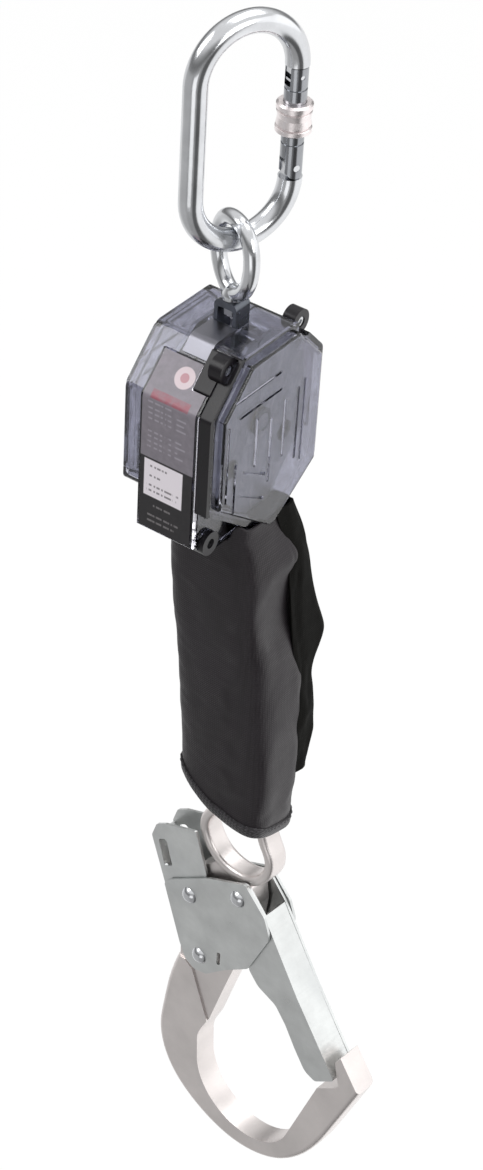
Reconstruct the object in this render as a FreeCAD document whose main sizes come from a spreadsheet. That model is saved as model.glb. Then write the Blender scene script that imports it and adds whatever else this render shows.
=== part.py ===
import FreeCAD, Part
import math, os
import Sketcher
from FreeCAD import Vector, Placement, Rotation

# Self-retracting lifeline: carabiner and swivel on top, case with webbing drum, absorber
# pouch and snap hook hanging below. Millimetres and degrees; Z is up, the drum axis runs
# along X (left is -X), front is -Y. Pieces are modelled with the drum axis through the
# origin, then lowered so that the origin is the anchor point inside the carabiner's top.

os.makedirs("parts", exist_ok=True)
doc = FreeCAD.newDocument("SelfRetractingLifeline")

# ---------------------------------------------------------------- driving dimensions
# alias, value, note
TABLE = [
    ("car_yaw", 67.5, "carabiner plane about Z"),
    ("car_base", 79.0, "lowest point of the carabiner"),
    ("car_bar", 5.25, "carabiner bar radius"), ("car_halfw", 24.05, "centreline half width"),
    ("car_offset", 1.0, "carabiner centre offset"),
    ("car_low", 29.3, "lower arc centre above base"),
    ("car_high", 80.7, "upper arc centre above base"),
    ("gate_rad", 4.9, "carabiner gate radius"), ("gate_pivot", 34.5, "gate hinge above base"),
    ("gate_slot", 4.4, "fork slot width"), ("tab_thick", 4.0, "hinge and nose tab thickness"),
    ("hinge_pin_rad", 1.5, "hinge pin radius"), ("latch_pin_rad", 1.0, "latch pin radius"),
    ("sleeve_rad", 7.8, "lock sleeve radius"),
    ("sleeve_low", 50.0, "sleeve bottom above base"),
    ("sleeve_len", 14.0, "sleeve length"), ("sleeve_bore", 5.0, "sleeve bore radius"),
    ("eye_bar", 3.6, "swivel eye bar radius"), ("stem_rad", 2.8, "swivel stem radius"),
    ("yoke_half", 5.8, "yoke half width"), ("yoke_deep", 5.0, "yoke half depth"),
    ("yoke_top", 55.5, "yoke top"), ("yoke_low", 33.5, "yoke bottom"),
    ("yoke_wall", 1.8, "yoke wall"),
    ("load_pin_rad", 2.6, "load pin radius"), ("load_pin_z", 37.5, "load pin height"),
    ("shell_half", 22.0, "half width of the case at its flanges"),
    ("plateau_half", 25.0, "half width over the raised sides"),
    ("shell_left", 25.2, "left shell flange from the middle plane"),
    ("plateau_left", 28.4, "left shell raised side from the middle plane"),
    ("mid_half", 16.0, "half width of the lower nose block"), ("wall", 2.2, "case wall"),
    ("plate_left", -13.4, "left frame plate outer face"),
    ("plate_right", 14.6, "right frame plate inner face"),
    ("plate_thick", 1.8, "frame plate thickness"),
    ("drum_flange", 31.0, "drum flange radius"), ("drum_hub", 12.0, "drum hub radius"),
    ("drum_inner", 9.5, "half width between flanges"),
    ("flange_thick", 1.5, "drum flange thickness"), ("shaft_rad", 4.0, "drum shaft radius"),
    ("coil_rad", 29.5, "outer radius of the stored webbing"),
    ("web_wide", 18.0, "webbing width"), ("web_thick", 1.3, "webbing thickness"),
    ("ratchet_outer", 32.8, "ratchet ring outer radius"),
    ("ratchet_root", 30.2, "tooth root radius"), ("ratchet_tip", 25.4, "tooth tip radius"),
    ("ratchet_teeth", 8, "number of teeth"),
    ("pawl_pivot", 18.5, "pawl pivot from the drum axis"),
    ("pawl_len", 13.0, "pawl pivot to tip"),
    ("pawl_rest", 23.8, "tip circle radius from the drum axis at rest"),
    ("roller_rad", 3.5, "guide roller radius"),
    ("roller_y", 4.25, "roller axis from the middle"), ("roller_z", -43.0, "roller height"),
    ("nozzle_wide", 12.5, "nozzle half width"), ("nozzle_deep", 7.0, "nozzle half depth"),
    ("nozzle_low", -58.0, "nozzle bottom"), ("nozzle_top", -47.5, "nozzle top"),
    ("pouch_wall", 1.6, "pouch fabric and lining"), ("pouch_top", -61.6, "pouch top"),
    ("hook_x", 18.56, "hook frame x"), ("hook_y", 10.71, "hook frame y"),
    ("hook_z", -260.88, "hook frame z"), ("hook_yaw", -6.6, "hook plane about Z"),
    ("hook_thick", 13.0, "forged hook thickness"),
    ("web_core", 11.2, "recessed upper web thickness"),
    ("bowl_rad", 33.3, "inner bowl radius"),
    ("bowl_s", 15.5, "bowl centre x, hook frame"),
    ("bowl_z", -162.0, "bowl centre z, hook frame"),
    ("cheek_in", 7.0, "inside face of gate and lever cheeks"),
    ("cheek_thick", 1.4, "cheek thickness"),
    ("cover_in", 8.7, "inside face of side plates"),
    ("cover_thick", 1.4, "side plate thickness"),
    ("ring_bar", 4.5, "hook ring top bar radius"), ("ring_bar_s", -1.5, "top bar middle x"),
    ("ring_bar_z", 31.0, "top bar height"),
    ("rivet_rad", 2.5, "rivet radius"), ("rivet_head", 4.4, "rivet head size"),
    ("anchor_z", 178.5, "height of the top anchor point above the drum axis"),
]
dims = doc.addObject("Spreadsheet::Sheet", "Dims")
for row, (alias, value, note) in enumerate(TABLE, 1):
    dims.set("A%d" % row, note)
    dims.set("B%d" % row, repr(value))
    dims.setAlias("B%d" % row, alias)
doc.recompute()


def dim(alias):
    return float(dims.get(alias))


X_AXIS, Y_AXIS, Z_AXIS = Vector(1, 0, 0), Vector(0, 1, 0), Vector(0, 0, 1)
ORIGIN = Vector(0, 0, 0)
nodes = []


# ---------------------------------------------------------------- document helpers
def add_node(kind, name):
    """New labelled object that will be exported."""
    node = doc.addObject(kind, name)
    node.Label = name
    nodes.append(node)
    return node


def feature(name, shape, place=None):
    """Piece from a finished shape, optionally moved by place."""
    node = add_node("Part::Feature", name)
    node.Shape = shape
    if place is not None:
        node.Placement = place.multiply(shape.Placement)


def cylinder(name, radius, length, place):
    """Cylinder piece; radius and length are expressions."""
    node = add_node("Part::Cylinder", name)
    node.setExpression("Radius", radius)
    node.setExpression("Height", length)
    node.Placement = place


def new_body(name, place=None):
    body = add_node("PartDesign::Body", name)
    if place is not None:
        body.Placement = place
    return body


def rounded(points):
    """Closed XY outline from (x, y[, corner radius]) as lines and tangent arcs."""
    count = len(points)
    corners = []
    for i, point in enumerate(points):
        corner = Vector(point[0], point[1], 0)
        radius = point[2] if len(point) > 2 else 0
        if radius <= 0:
            corners.append((corner, None, corner))
            continue
        after = points[(i + 1) % count]
        to_last = Vector(points[i - 1][0], points[i - 1][1], 0) - corner
        to_next = Vector(after[0], after[1], 0) - corner
        limit = 0.49 * min(to_last.Length, to_next.Length)
        to_last.normalize()
        to_next.normalize()
        half = math.acos(max(-1, min(1, to_last.dot(to_next)))) / 2
        reach = min(radius / math.tan(half), limit)
        radius = reach * math.tan(half)
        bisector = (to_last + to_next).normalize()
        middle = corner + bisector * (radius / math.sin(half) - radius)
        corners.append((corner + to_last * reach, middle, corner + to_next * reach))
    curves = []
    for i, (start, middle, end) in enumerate(corners):
        if middle is not None:
            curves.append(Part.Arc(start, middle, end))
        following = corners[(i + 1) % count][0]
        if (following - end).Length > 1e-6:
            curves.append(Part.LineSegment(end, following))
    return curves


def sketch(body, name, plane, loops=(), offset=None, circles=()):
    """Sketch on one of the body's origin planes; offset and circle radii are expressions."""
    drawing = body.newObject("Sketcher::SketchObject", body.Name + "_" + name)
    support = next(f for f in body.Origin.OriginFeatures if f.Role == plane)
    drawing.AttachmentSupport = [(support, "")]
    drawing.MapMode = "FlatFace"
    if offset is not None:
        drawing.setExpression("AttachmentOffset.Base.z", offset)
    for loop in loops:
        for curve in rounded(loop):
            drawing.addGeometry(curve, False)
    for k, (x, y, radius) in enumerate(circles):
        circle = drawing.addGeometry(Part.Circle(Vector(x, y, 0), Z_AXIS, 1.0), False)
        size = drawing.addConstraint(Sketcher.Constraint("Radius", circle, 1.0))
        drawing.renameConstraint(size, "rad%d" % k)
        drawing.setExpression("Constraints.rad%d" % k, radius)
        for kind, value in (("DistanceX", x), ("DistanceY", y)):
            if abs(value) > 1e-9:
                drawing.addConstraint(Sketcher.Constraint(kind, -1, 1, circle, 3, value))
    return drawing


def pad(body, profile, length, reverse=False):
    result = body.newObject("PartDesign::Pad", profile.Name + "_pad")
    result.Profile = profile
    result.setExpression("Length", length)
    result.Reversed = reverse
    profile.Visibility = False
    doc.recompute()


def pocket(body, profile, length, reverse=False):
    before = body.Shape.Volume
    result = body.newObject("PartDesign::Pocket", profile.Name + "_cut")
    result.Profile = profile
    result.setExpression("Length", length)
    result.Reversed = reverse
    doc.recompute()
    if not body.Shape.Volume < before - 1e-3:
        raise RuntimeError("pocket cuts nothing: " + result.Name)
    return result


def revolve(body, profile, axis):
    turned = body.newObject("PartDesign::Revolution", profile.Name + "_turn")
    turned.Profile = profile
    turned.ReferenceAxis = (profile, [axis])
    turned.Angle = 360
    doc.recompute()


# ---------------------------------------------------------------- shape helpers
def outline_wire(points):
    return Part.Wire([curve.toShape() for curve in rounded(points)])


def slab_xz(face, y0, y1):
    """XY face stood up so that (x, y) becomes (x, z), extruded from y0 to y1."""
    face.rotate(ORIGIN, X_AXIS, 90)
    face.translate(Vector(0, y0, 0))
    return face.extrude(Vector(0, y1 - y0, 0))


def prism_xz(points, y0, y1):
    """Prism of an (x, z[, radius]) outline."""
    return slab_xz(Part.Face(outline_wire(points)), y0, y1)


def prism_yz(points, x0, x1):
    """Prism of a (y, z[, radius]) outline."""
    face = Part.Face(outline_wire(points))
    face.rotate(ORIGIN, X_AXIS, 90)
    face.rotate(ORIGIN, Z_AXIS, 90)
    face.translate(Vector(x0, 0, 0))
    return face.extrude(Vector(x1 - x0, 0, 0))


def rod(radius, length, x, y, z, axis=X_AXIS):
    return Part.makeCylinder(radius, length, Vector(x, y, z), axis)


def tube(outer, inner, length, x, y, z, axis=X_AXIS):
    return rod(outer, length, x, y, z, axis).cut(rod(inner, length, x, y, z, axis))


def box(x0, x1, y0, y1, z0, z1):
    return Part.makeBox(x1 - x0, y1 - y0, z1 - z0, Vector(x0, y0, z0))


def hexagon(radius):
    return [(radius * math.cos(k * math.pi / 3), radius * math.sin(k * math.pi / 3))
            for k in range(6)]


def pipe(wire, radius, start, direction):
    """Round bar along wire."""
    section = Part.Wire([Part.Circle(start, direction, radius).toShape()])
    return wire.makePipeShell([section], True, True)


def coil_spring(radius, wire_radius, pitch, height, base, axis):
    """Round-wire helical spring standing on base along axis."""
    helix = Part.Wire(Part.makeHelix(pitch, height, radius))
    spring = pipe(helix, wire_radius, Vector(radius, 0, 0), Y_AXIS)
    spring.Placement = Placement(base, Rotation(Z_AXIS, axis))
    return spring


def spline(points):
    """Edge through (x, y, z) points."""
    curve = Part.BSplineCurve()
    curve.interpolate([Vector(*p) for p in points])
    return curve.toShape()


def flat_spline(points):
    return spline([(x, y, 0) for x, y in points])


def lines(points):
    """Straight XY edges joining the points in turn."""
    return [Part.LineSegment(Vector(a[0], a[1], 0), Vector(b[0], b[1], 0)).toShape()
            for a, b in zip(points[:-1], points[1:])]


def soften(shape, radius, half, min_length):
    """Fillet the long edges of the two faces at y = -half and y = half."""
    edges = [e for e in shape.Edges
             if all(abs(abs(v.Y) - half) < 1e-6 for v in e.Vertexes)
             and abs(e.Vertexes[0].Y - e.Vertexes[-1].Y) < 1e-6 and e.Length > min_length]
    if not edges:
        return shape
    # Guards against the kernel failing on the spline edges: they then stay sharp.
    try:
        filleted = shape.makeFillet(radius, edges)
        if filleted.isValid() and filleted.Volume > 0:
            return filleted
    except Exception:
        pass
    return shape


# ================================================================= carabiner
# Local frame: x across the carabiner in its plane, z up from its lowest point.
CAR_TURN = Rotation(Z_AXIS, dim("car_yaw"))
CARABINER = Placement(Vector(0, 0, dim("car_base")), CAR_TURN)
CAR_X, CAR_HALF = dim("car_offset"), dim("car_halfw")
ARC_LOW, ARC_HIGH = dim("car_low"), dim("car_high")
GATE_X = CAR_X + CAR_HALF
HINGE_Z = dim("gate_pivot")
LATCH_Z = ARC_HIGH - 4.45


def carabiner_body():
    body = new_body("carabiner_body", CARABINER)
    path = sketch(body, "path", "XZ_Plane")
    lower = Part.Circle(Vector(CAR_X, ARC_LOW, 0), Z_AXIS, CAR_HALF)
    upper = Part.Circle(Vector(CAR_X, ARC_HIGH, 0), Z_AXIS, CAR_HALF)
    left = CAR_X - CAR_HALF
    path.addGeometry(Part.ArcOfCircle(lower, math.pi, 2 * math.pi), False)
    path.addGeometry(Part.LineSegment(Vector(left, ARC_LOW, 0), Vector(left, ARC_HIGH, 0)),
                     False)
    path.addGeometry(Part.ArcOfCircle(upper, 0, math.pi), False)
    bar = sketch(body, "bar", "XY_Plane", [], "Dims.car_low", [(GATE_X, 0, "Dims.car_bar")])
    doc.recompute()
    sweep = body.newObject("PartDesign::AdditivePipe", "carabiner_pipe")
    sweep.Profile = bar
    sweep.Spine = (path, ["Edge1", "Edge2", "Edge3"])
    doc.recompute()
    tongue = [(GATE_X - 3.5, ARC_LOW - 3), (GATE_X + 3.5, ARC_LOW - 3),
              (GATE_X + 3.5, HINGE_Z + 3.6, 3.4), (GATE_X - 3.5, HINGE_Z + 3.6, 3.4)]
    nose = [(GATE_X - 4, ARC_HIGH + 3), (GATE_X - 4, ARC_HIGH - 3.2),
            (GATE_X + 1.3, ARC_HIGH - 3.2, 1.2), (GATE_X + 1.3, ARC_HIGH - 5.7, 1.2),
            (GATE_X - 4, ARC_HIGH - 5.7), (GATE_X - 4, ARC_HIGH - 7.2, .6),
            (GATE_X + 4, ARC_HIGH - 7.2, 1.5), (GATE_X + 4, ARC_HIGH + 3)]
    for name, tab in (("tongue", tongue), ("nose", nose)):
        pad(body, sketch(body, name, "XZ_Plane", [tab], "-Dims.tab_thick / 2"),
            "Dims.tab_thick")
    pin = [(GATE_X, HINGE_Z, "Dims.hinge_pin_rad")]
    pocket(body, sketch(body, "pinhole", "XZ_Plane", [], "-10", pin), "20", True)


def carabiner_gate():
    """Round gate, forked at both ends, bored for its spring."""
    radius, slot = dim("gate_rad"), dim("gate_slot") / 2
    bottom, top = HINGE_Z - radius, ARC_HIGH - .5
    left, right = GATE_X - 8, GATE_X + 8
    gate = rod(radius, top - bottom, GATE_X, 0, bottom, Z_AXIS)
    below_hinge = box(left, right, -8, 8, bottom - 1, HINGE_Z)
    round_end = gate.common(below_hinge).common(rod(radius, 20, GATE_X, -10, HINGE_Z, Y_AXIS))
    gate = gate.cut(below_hinge).fuse(round_end).removeSplitter()
    for low, high in ((HINGE_Z - 8, HINGE_Z + 4.3), (ARC_HIGH - 8.6, ARC_HIGH + 2)):
        gate = gate.cut(box(left, right, -slot, slot, low, high))
    for hole, z in ((dim("hinge_pin_rad") + .05, HINGE_Z), (dim("latch_pin_rad") + .01, LATCH_Z)):
        gate = gate.cut(rod(hole, 20, GATE_X, -10, z, Y_AXIS))
    gate = gate.cut(rod(2.7, 12, GATE_X, 0, HINGE_Z + 4, Z_AXIS))
    for groove_z in (45.0, 70.0):
        gate = gate.cut(tube(6.5, radius - .35, 1.0, GATE_X, 0, groove_z, Z_AXIS))
    return gate


def lock_sleeve():
    """Turned sleeve with a collar at each end and a waist between."""
    body = new_body("lock_sleeve", CARABINER.multiply(Placement(Vector(GATE_X, 0, 0), Rotation())))
    outer, bore = dim("sleeve_rad"), dim("sleeve_bore")
    low = dim("sleeve_low")
    length = dim("sleeve_len")
    top = low + length
    profile = [(bore, low), (outer - 1.0, low), (outer, low + .8), (outer, low + 2.6),
               (outer - .9, low + 3.0), (outer - .9, low + 3.7), (outer - .25, low + 4.1),
               (outer - .8, low + length / 2),
               (outer - .25, top - 4.1), (outer - .9, top - 3.7), (outer - .9, top - 3.0),
               (outer, top - 2.6), (outer, top - .8), (outer - 1.0, top), (bore, top)]
    revolve(body, sketch(body, "profile", "XZ_Plane", [profile]), "V_Axis")


carabiner_body()
feature("carabiner_gate", carabiner_gate(), CARABINER)
for name, radius, length, z in (("carabiner_hinge_pin", "Dims.hinge_pin_rad", 9.4, HINGE_Z),
                                ("carabiner_latch_pin", "Dims.latch_pin_rad", 9.2, LATCH_Z)):
    across = Placement(Vector(GATE_X, -length / 2, z), Rotation(X_AXIS, -90))
    cylinder(name, radius, str(length), CARABINER.multiply(across))
gate_spring = coil_spring(2.1, .35, 1.5, 9.6, Vector(GATE_X, 0, HINGE_Z + 5.2), Z_AXIS)
feature("carabiner_gate_spring", gate_spring, CARABINER)
lock_sleeve()

# ================================================================= swivel
STEM = dim("stem_rad")
COLLAR_Z = 55.7
# (x, y, z) along one half of the eye, from the stem to the top
EYE = [(0, 1.2, 58.6), (0, 5.0, 60.0), (0, 9.4, 64.0), (0, 12.6, 71.0), (0, 13.4, 79.0),
       (0, 11.4, 86.8), (0, 6.6, 91.9), (0, 0, 93.4)]


def swivel_eye():
    wire = Part.Wire([spline(EYE + [(x, -y, z) for x, y, z in reversed(EYE[:-1])])])
    first = wire.Edges[0]
    eye = pipe(wire, dim("eye_bar"), Vector(*EYE[0]), first.tangentAt(first.FirstParameter))
    eye = eye.cut(box(-8, 8, -8, 8, 50, COLLAR_Z))
    collar = rod(5.0, 1.6, 0, 0, COLLAR_Z, Z_AXIS)
    shoulder = Part.makeCone(4.6, 3.3, 3.4, Vector(0, 0, COLLAR_Z + 1.6))
    stem = rod(STEM, 12.0, 0, 0, 47.2, Z_AXIS).fuse(collar).fuse(shoulder)
    return eye.fuse(stem).removeSplitter()


def swivel_nut():
    face = Part.Face(outline_wire(hexagon(3.85)))
    face.translate(Vector(0, 0, 48.0))
    return face.extrude(Vector(0, 0, 3.7)).cut(rod(STEM, 10, 0, 0, 45, Z_AXIS))


YOKE_HALF, YOKE_DEEP = dim("yoke_half"), dim("yoke_deep")


def swivel_yoke():
    """Arch over the load pin, open at the bottom."""
    body = new_body("swivel_yoke")
    top, low = dim("yoke_top"), dim("yoke_low")
    inner = YOKE_HALF - dim("yoke_wall")
    inner_top = 52.0
    arch = [(-YOKE_HALF, low), (-YOKE_HALF, top, 3.0), (YOKE_HALF, top, 3.0), (YOKE_HALF, low),
            (inner, low), (inner, inner_top, 1.0), (-inner, inner_top, 1.0), (-inner, low)]
    pad(body, sketch(body, "arch", "XZ_Plane", [arch], "-Dims.yoke_deep"), "2 * Dims.yoke_deep")
    hole = [(0, 0, "Dims.stem_rad + 0.05")]
    pocket(body, sketch(body, "stemhole", "XY_Plane", [], "60", hole), "20")
    hole = [(0, dim("load_pin_z"), "Dims.load_pin_rad")]
    pocket(body, sketch(body, "pinhole", "YZ_Plane", [], "20", hole), "40")


PLATE_L, PLATE_R, PLATE_T = dim("plate_left"), dim("plate_right"), dim("plate_thick")
feature("swivel_eye", swivel_eye(), Placement(ORIGIN, CAR_TURN))
feature("swivel_nut", swivel_nut(), Placement(ORIGIN, CAR_TURN))
swivel_yoke()
cylinder("load_pin", "Dims.load_pin_rad",
         "Dims.plate_right + Dims.plate_thick - Dims.plate_left + 1",
         Placement(Vector(PLATE_L - .5, 0, dim("load_pin_z")), Rotation(Y_AXIS, 90)))

# ================================================================= case
WALL = dim("wall")
NOZZLE_HALF, NOZZLE_DEEP = dim("nozzle_wide"), dim("nozzle_deep")
PLATEAU_INSET = 3.6
# (y, z, corner radius): whole side of the case, and the lower nose block
SIDE = [(-40, -28, 4), (-40, 21, 5), (-19, 43, 5), (19, 43, 5), (40, 21, 5), (40, -38, 4),
        (8, -60.3, 4), (1.5, -59.5, 4)]
NOSE = [(-40, 10), (-40, 21, 5), (-19, 43, 5), (0, 43), (12, 30), (12, -56, 3), (-32, -56, 6),
        (-40, -48.5, 4)]
NOSE_HOLLOW = [(-40 + WALL, 10), (-40 + WALL, 19), (-19, 38), (0, 38), (12 - WALL, 30),
               (12 - WALL, -56 + WALL, 1), (-32, -56 + WALL, 3), (-40 + WALL, -48.5, 2)]
# upright and level grooves (y0, y1, z0, z1), then slanted ones as (y, z) outlines
GROOVES = [(-12.9, -11.3, -15.0, 10.5), (-2.0, -.4, -29, 5), (8.0, 9.6, -21, 9.5),
           (17.8, 19.4, -27, 11), (22.4, 23.8, -31, 13.5), (-27.4, -25.8, -33, -6),
           (-33.4, -32.0, -24, 16), (-28.5, 4.5, 25.4, 26.9), (-25.5, 5.5, 16.2, 17.6)]
SLANTS = [[(-20, -13.2), (-20, -14.8), (-3.6, -24.0), (-3.6, -22.4)],
          [(-22.5, -24.0), (-22.5, -25.6), (-3.6, -37.3), (-3.6, -35.7)]]
# name, y, z, boss left end x, boss radius, bore, length, floor, screw radius, screw length
CORNERS = [("front", -27.0, 39.5, 12.5, 6.2, 2.6, 6.5, 3.4, 2.3, 2.6),
           ("rear", 25.6, 38.4, 12.5, 6.0, 2.6, 6.5, 3.4, 2.3, 2.6),
           ("low", -33.0, -48.0, 12.0, 5.8, 2.4, 6.6, 2.0, 2.1, 3.0)]
SEAT_GAP = .1


def inset(points, distance):
    """Convex outline moved inwards; its corner radii shrink with it."""
    count = len(points)
    middle_x = sum(p[0] for p in points) / count
    middle_y = sum(p[1] for p in points) / count
    sides = []
    for i in range(count):
        x0, y0 = points[i][:2]
        x1, y1 = points[(i + 1) % count][:2]
        length = math.hypot(x1 - x0, y1 - y0)
        ux, uy = (x1 - x0) / length, (y1 - y0) / length
        inward_x, inward_y = -uy, ux
        if inward_x * (middle_x - x0) + inward_y * (middle_y - y0) < 0:
            inward_x, inward_y = uy, -ux
        sides.append((x0 + inward_x * distance, y0 + inward_y * distance, ux, uy))
    moved = []
    for i in range(count):
        x1, y1, ux, uy = sides[i - 1]
        x2, y2, vx, vy = sides[i]
        along = ((y2 - y1) * vx - (x2 - x1) * vy) / (uy * vx - ux * vy)
        radius = points[i][2] if len(points[i]) > 2 else 0
        moved.append((x1 + ux * along, y1 + uy * along,
                      max(radius - distance, 0.6) if radius else 0))
    return moved


def rectangle(half_x, half_y, *radius):
    return [(-half_x, -half_y, *radius), (half_x, -half_y, *radius),
            (half_x, half_y, *radius), (-half_x, half_y, *radius)]


def shell(name, side, flange, plateau):
    """Half case on one side (-1 left, 1 right); flange and plateau are width aliases."""
    body = new_body(name)
    left, right = side < 0, side > 0
    sign = "-" if left else ""
    flange_x, plateau_x = "Dims." + flange, "Dims." + plateau
    overlap = sign + flange_x + (" + 0.5" if left else " - 0.5")
    pad(body, sketch(body, "flange", "YZ_Plane", [SIDE]), flange_x, left)
    pad(body, sketch(body, "nose", "YZ_Plane", [NOSE]), "Dims.mid_half", left)
    pad(body, sketch(body, "plateau", "YZ_Plane", [inset(SIDE, PLATEAU_INSET)], overlap),
        plateau_x + " - " + flange_x + " + 0.5", left)
    rim = ["Edge%d" % k for k, edge in enumerate(body.Shape.Edges, 1)
           if all(abs(abs(v.X) - dim(plateau)) < 1e-6 for v in edge.Vertexes)]
    sharp = body.Tip
    soft = body.newObject("PartDesign::Fillet", name + "_soft")
    soft.Base = (sharp, rim)
    soft.Radius = 1.8
    doc.recompute()
    # The plateau keeps its sharp rim if the fillet cannot be built.
    if "Invalid" in soft.State or soft.Shape.isNull():
        body.removeObject(soft)
        doc.removeObject(soft.Name)
        body.Tip = sharp
        doc.recompute()
    for part, outline, depth in (
            ("hollow", inset(SIDE, WALL), flange_x),
            ("nosehollow", NOSE_HOLLOW, "Dims.mid_half"),
            ("bulge", inset(SIDE, PLATEAU_INSET + WALL), plateau_x)):
        pocket(body, sketch(body, part, "YZ_Plane", [outline]), depth + " - Dims.wall", right)
    grooves = [[(y0, z0, .6), (y1, z0, .6), (y1, z1, .6), (y0, z1, .6)]
               for y0, y1, z0, z1 in GROOVES] + SLANTS
    pocket(body, sketch(body, "grooves", "YZ_Plane", grooves, sign + plateau_x), "1.1", left)
    slot = rectangle(YOKE_HALF + .15, YOKE_DEEP + .15)
    pocket(body, sketch(body, "yokeslot", "XY_Plane", [slot], "50"), "12")
    mouth = rectangle(NOZZLE_HALF + .1, NOZZLE_DEEP + .1)
    pocket(body, sketch(body, "mouth", "XY_Plane", [mouth], "-64"), "17", True)
    if right:
        start = "Dims.plateau_half + 1"
        for corner, y, z, boss_x, radius, *_ in CORNERS:
            seat = [(y, z, repr(radius + SEAT_GAP))]
            pocket(body, sketch(body, "seat_" + corner, "YZ_Plane", [], start, seat),
                   start + " - " + repr(boss_x - SEAT_GAP))


shell("left_shell", -1, "shell_left", "plateau_left")
shell("right_shell", 1, "shell_half", "plateau_half")

# corner bosses, closed at their left end, with a socket screw on each floor
bosses, screws = [], []
for _, y, z, x, radius, bore, length, floor, screw_radius, screw_length in CORNERS:
    bosses.append(tube(radius, bore, length, x, y, z).fuse(rod(radius, floor, x, y, z)))
    screw_x = x + floor + .05
    socket_x = screw_x + screw_length - 1.4
    socket = prism_yz([(y + a, z + b) for a, b in hexagon(screw_radius * .55)],
                      socket_x, socket_x + 2)
    screws.append(rod(screw_radius, screw_length, screw_x, y, z).cut(socket))
feature("corner_bosses", Part.makeCompound(bosses))
feature("housing_screws", Part.makeCompound(screws))


def corner_trim():
    """Strip round the front edge and upper front corner of the right shell."""
    trim = prism_yz([(-42.4, -28, 1.2), (-42.4, 21.9, 3), (-21.4, 43.9, 1), (-19.7, 42.3),
                     (-40.05, 20.98), (-40.05, -28)], 15.75, 22.0)
    trim = trim.fuse(prism_yz([(-42.4, -46, 1), (-42.4, -28.3), (-40.05, -28.3),
                               (-39.0, -30.4), (-39.0, -46)], 16.05, 17.6))
    trim = trim.fuse(prism_yz([(-33.84, 27.53), (-36.1, 29.7, 1), (-22.6, 43.8, 1),
                               (-20.34, 41.63)], 7.0, 15.8)).removeSplitter()
    trim = trim.cut(rod(6.25, 8, 12.3, -27, 39.5))
    return max(trim.Solids, key=lambda solid: solid.Volume)


feature("corner_trim", corner_trim())
# Front panels are notched where the trim crosses the upper corner.
PANEL_X = (-14.6, 15.6)
notch = prism_yz([(-33.2, 26.68), (-37.52, 30.8), (-20.8, 48.4), (-16.5, 44.2)], 6.85, 18)
label_panel = prism_yz([(-43.0, -47.5, 1.2), (-43.0, 22.3, 3), (-27.4, 38.6, 1.2),
                        (-25.35, 36.55), (-40.05, 21.15), (-40.05, -47.5)], *PANEL_X)
feature("label_panel", label_panel.cut(notch))
label_sheet = prism_yz([(-43.45, -46.0), (-43.45, 22.5, 3.45), (-28.4, 38.22), (-28.1, 37.96),
                        (-43.05, 22.34, 3.05), (-43.05, -46.0)], -13.4, 14.4)
feature("label_sheet", label_sheet.cut(notch))
feature("rear_panel", prism_yz([(43.0, -24, 1.2), (43.0, 20.0, 2), (40.6, 21.0), (40.05, 20),
                                (40.05, -24)], *PANEL_X))

# ================================================================= frame and drum
ROLLER_Y, ROLLER_Z = dim("roller_y"), dim("roller_z")
SPACER_Y, SPACER_Z = 27, 24
# frame plate outline (y, z, corner radius)
PLATE = [(-9, 40.4, 2), (9, 40.4, 2), (28.5, 27.5, 4), (33, 10, 4), (33, -20, 6), (12, -47, 3),
         (-9, -47, 3), (-33, -20, 6), (-33, 10, 4), (-28.5, 27.5, 4)]
# y, z, radius: shaft, load pin, roller pins, two round openings, spacers
PLATE_HOLES = [(0, 0, "6.02"), (0, dim("load_pin_z"), "Dims.load_pin_rad"),
               (ROLLER_Y, ROLLER_Z, "1.5"), (-ROLLER_Y, ROLLER_Z, "1.5"),
               (-20, -16, "5"), (20, -16, "5"),
               (-SPACER_Y, SPACER_Z, "1.6"), (SPACER_Y, SPACER_Z, "1.6")]
for name, face in (("left_frame_plate", "Dims.plate_left"),
                   ("right_frame_plate", "Dims.plate_right")):
    plate = new_body(name)
    pad(plate, sketch(plate, "outline", "YZ_Plane", [PLATE], face), "Dims.plate_thick")
    pocket(plate, sketch(plate, "holes", "YZ_Plane", [], face + " - 5", PLATE_HOLES),
           "20", True)
feature("frame_spacers", Part.makeCompound([
    rod(3.0, PLATE_R - PLATE_L - PLATE_T, PLATE_L + PLATE_T, y, SPACER_Z).fuse(
        rod(1.6, PLATE_R - PLATE_L + PLATE_T + 1.0, PLATE_L - .5, y, SPACER_Z))
    for y in (-SPACER_Y, SPACER_Y)]))

HUB, SHAFT = dim("drum_hub"), dim("shaft_rad")
DRUM_IN = dim("drum_inner")
DRUM_OUT = DRUM_IN + dim("flange_thick")


def drum():
    """Turned hub and flanges with six lightening holes."""
    body = new_body("drum")
    rim = dim("drum_flange")
    section = [(-DRUM_OUT, SHAFT), (-DRUM_OUT, rim), (-DRUM_IN, rim), (-DRUM_IN, HUB),
               (DRUM_IN, HUB), (DRUM_IN, rim), (DRUM_OUT, rim), (DRUM_OUT, SHAFT)]
    revolve(body, sketch(body, "section", "XZ_Plane", [section]), "H_Axis")
    pitch_radius = 21
    hole = (pitch_radius * math.cos(math.pi / 6), pitch_radius * math.sin(math.pi / 6), "4")
    profile = sketch(body, "lightening", "YZ_Plane", [], "-20", [hole])
    first = pocket(body, profile, "40", True)
    holes = body.newObject("PartDesign::PolarPattern", "drum_holes")
    holes.Originals = [first]
    holes.Axis = (profile, ["N_Axis"])
    holes.Angle = 360
    holes.Occurrences = 6
    body.Tip = holes
    doc.recompute()


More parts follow.
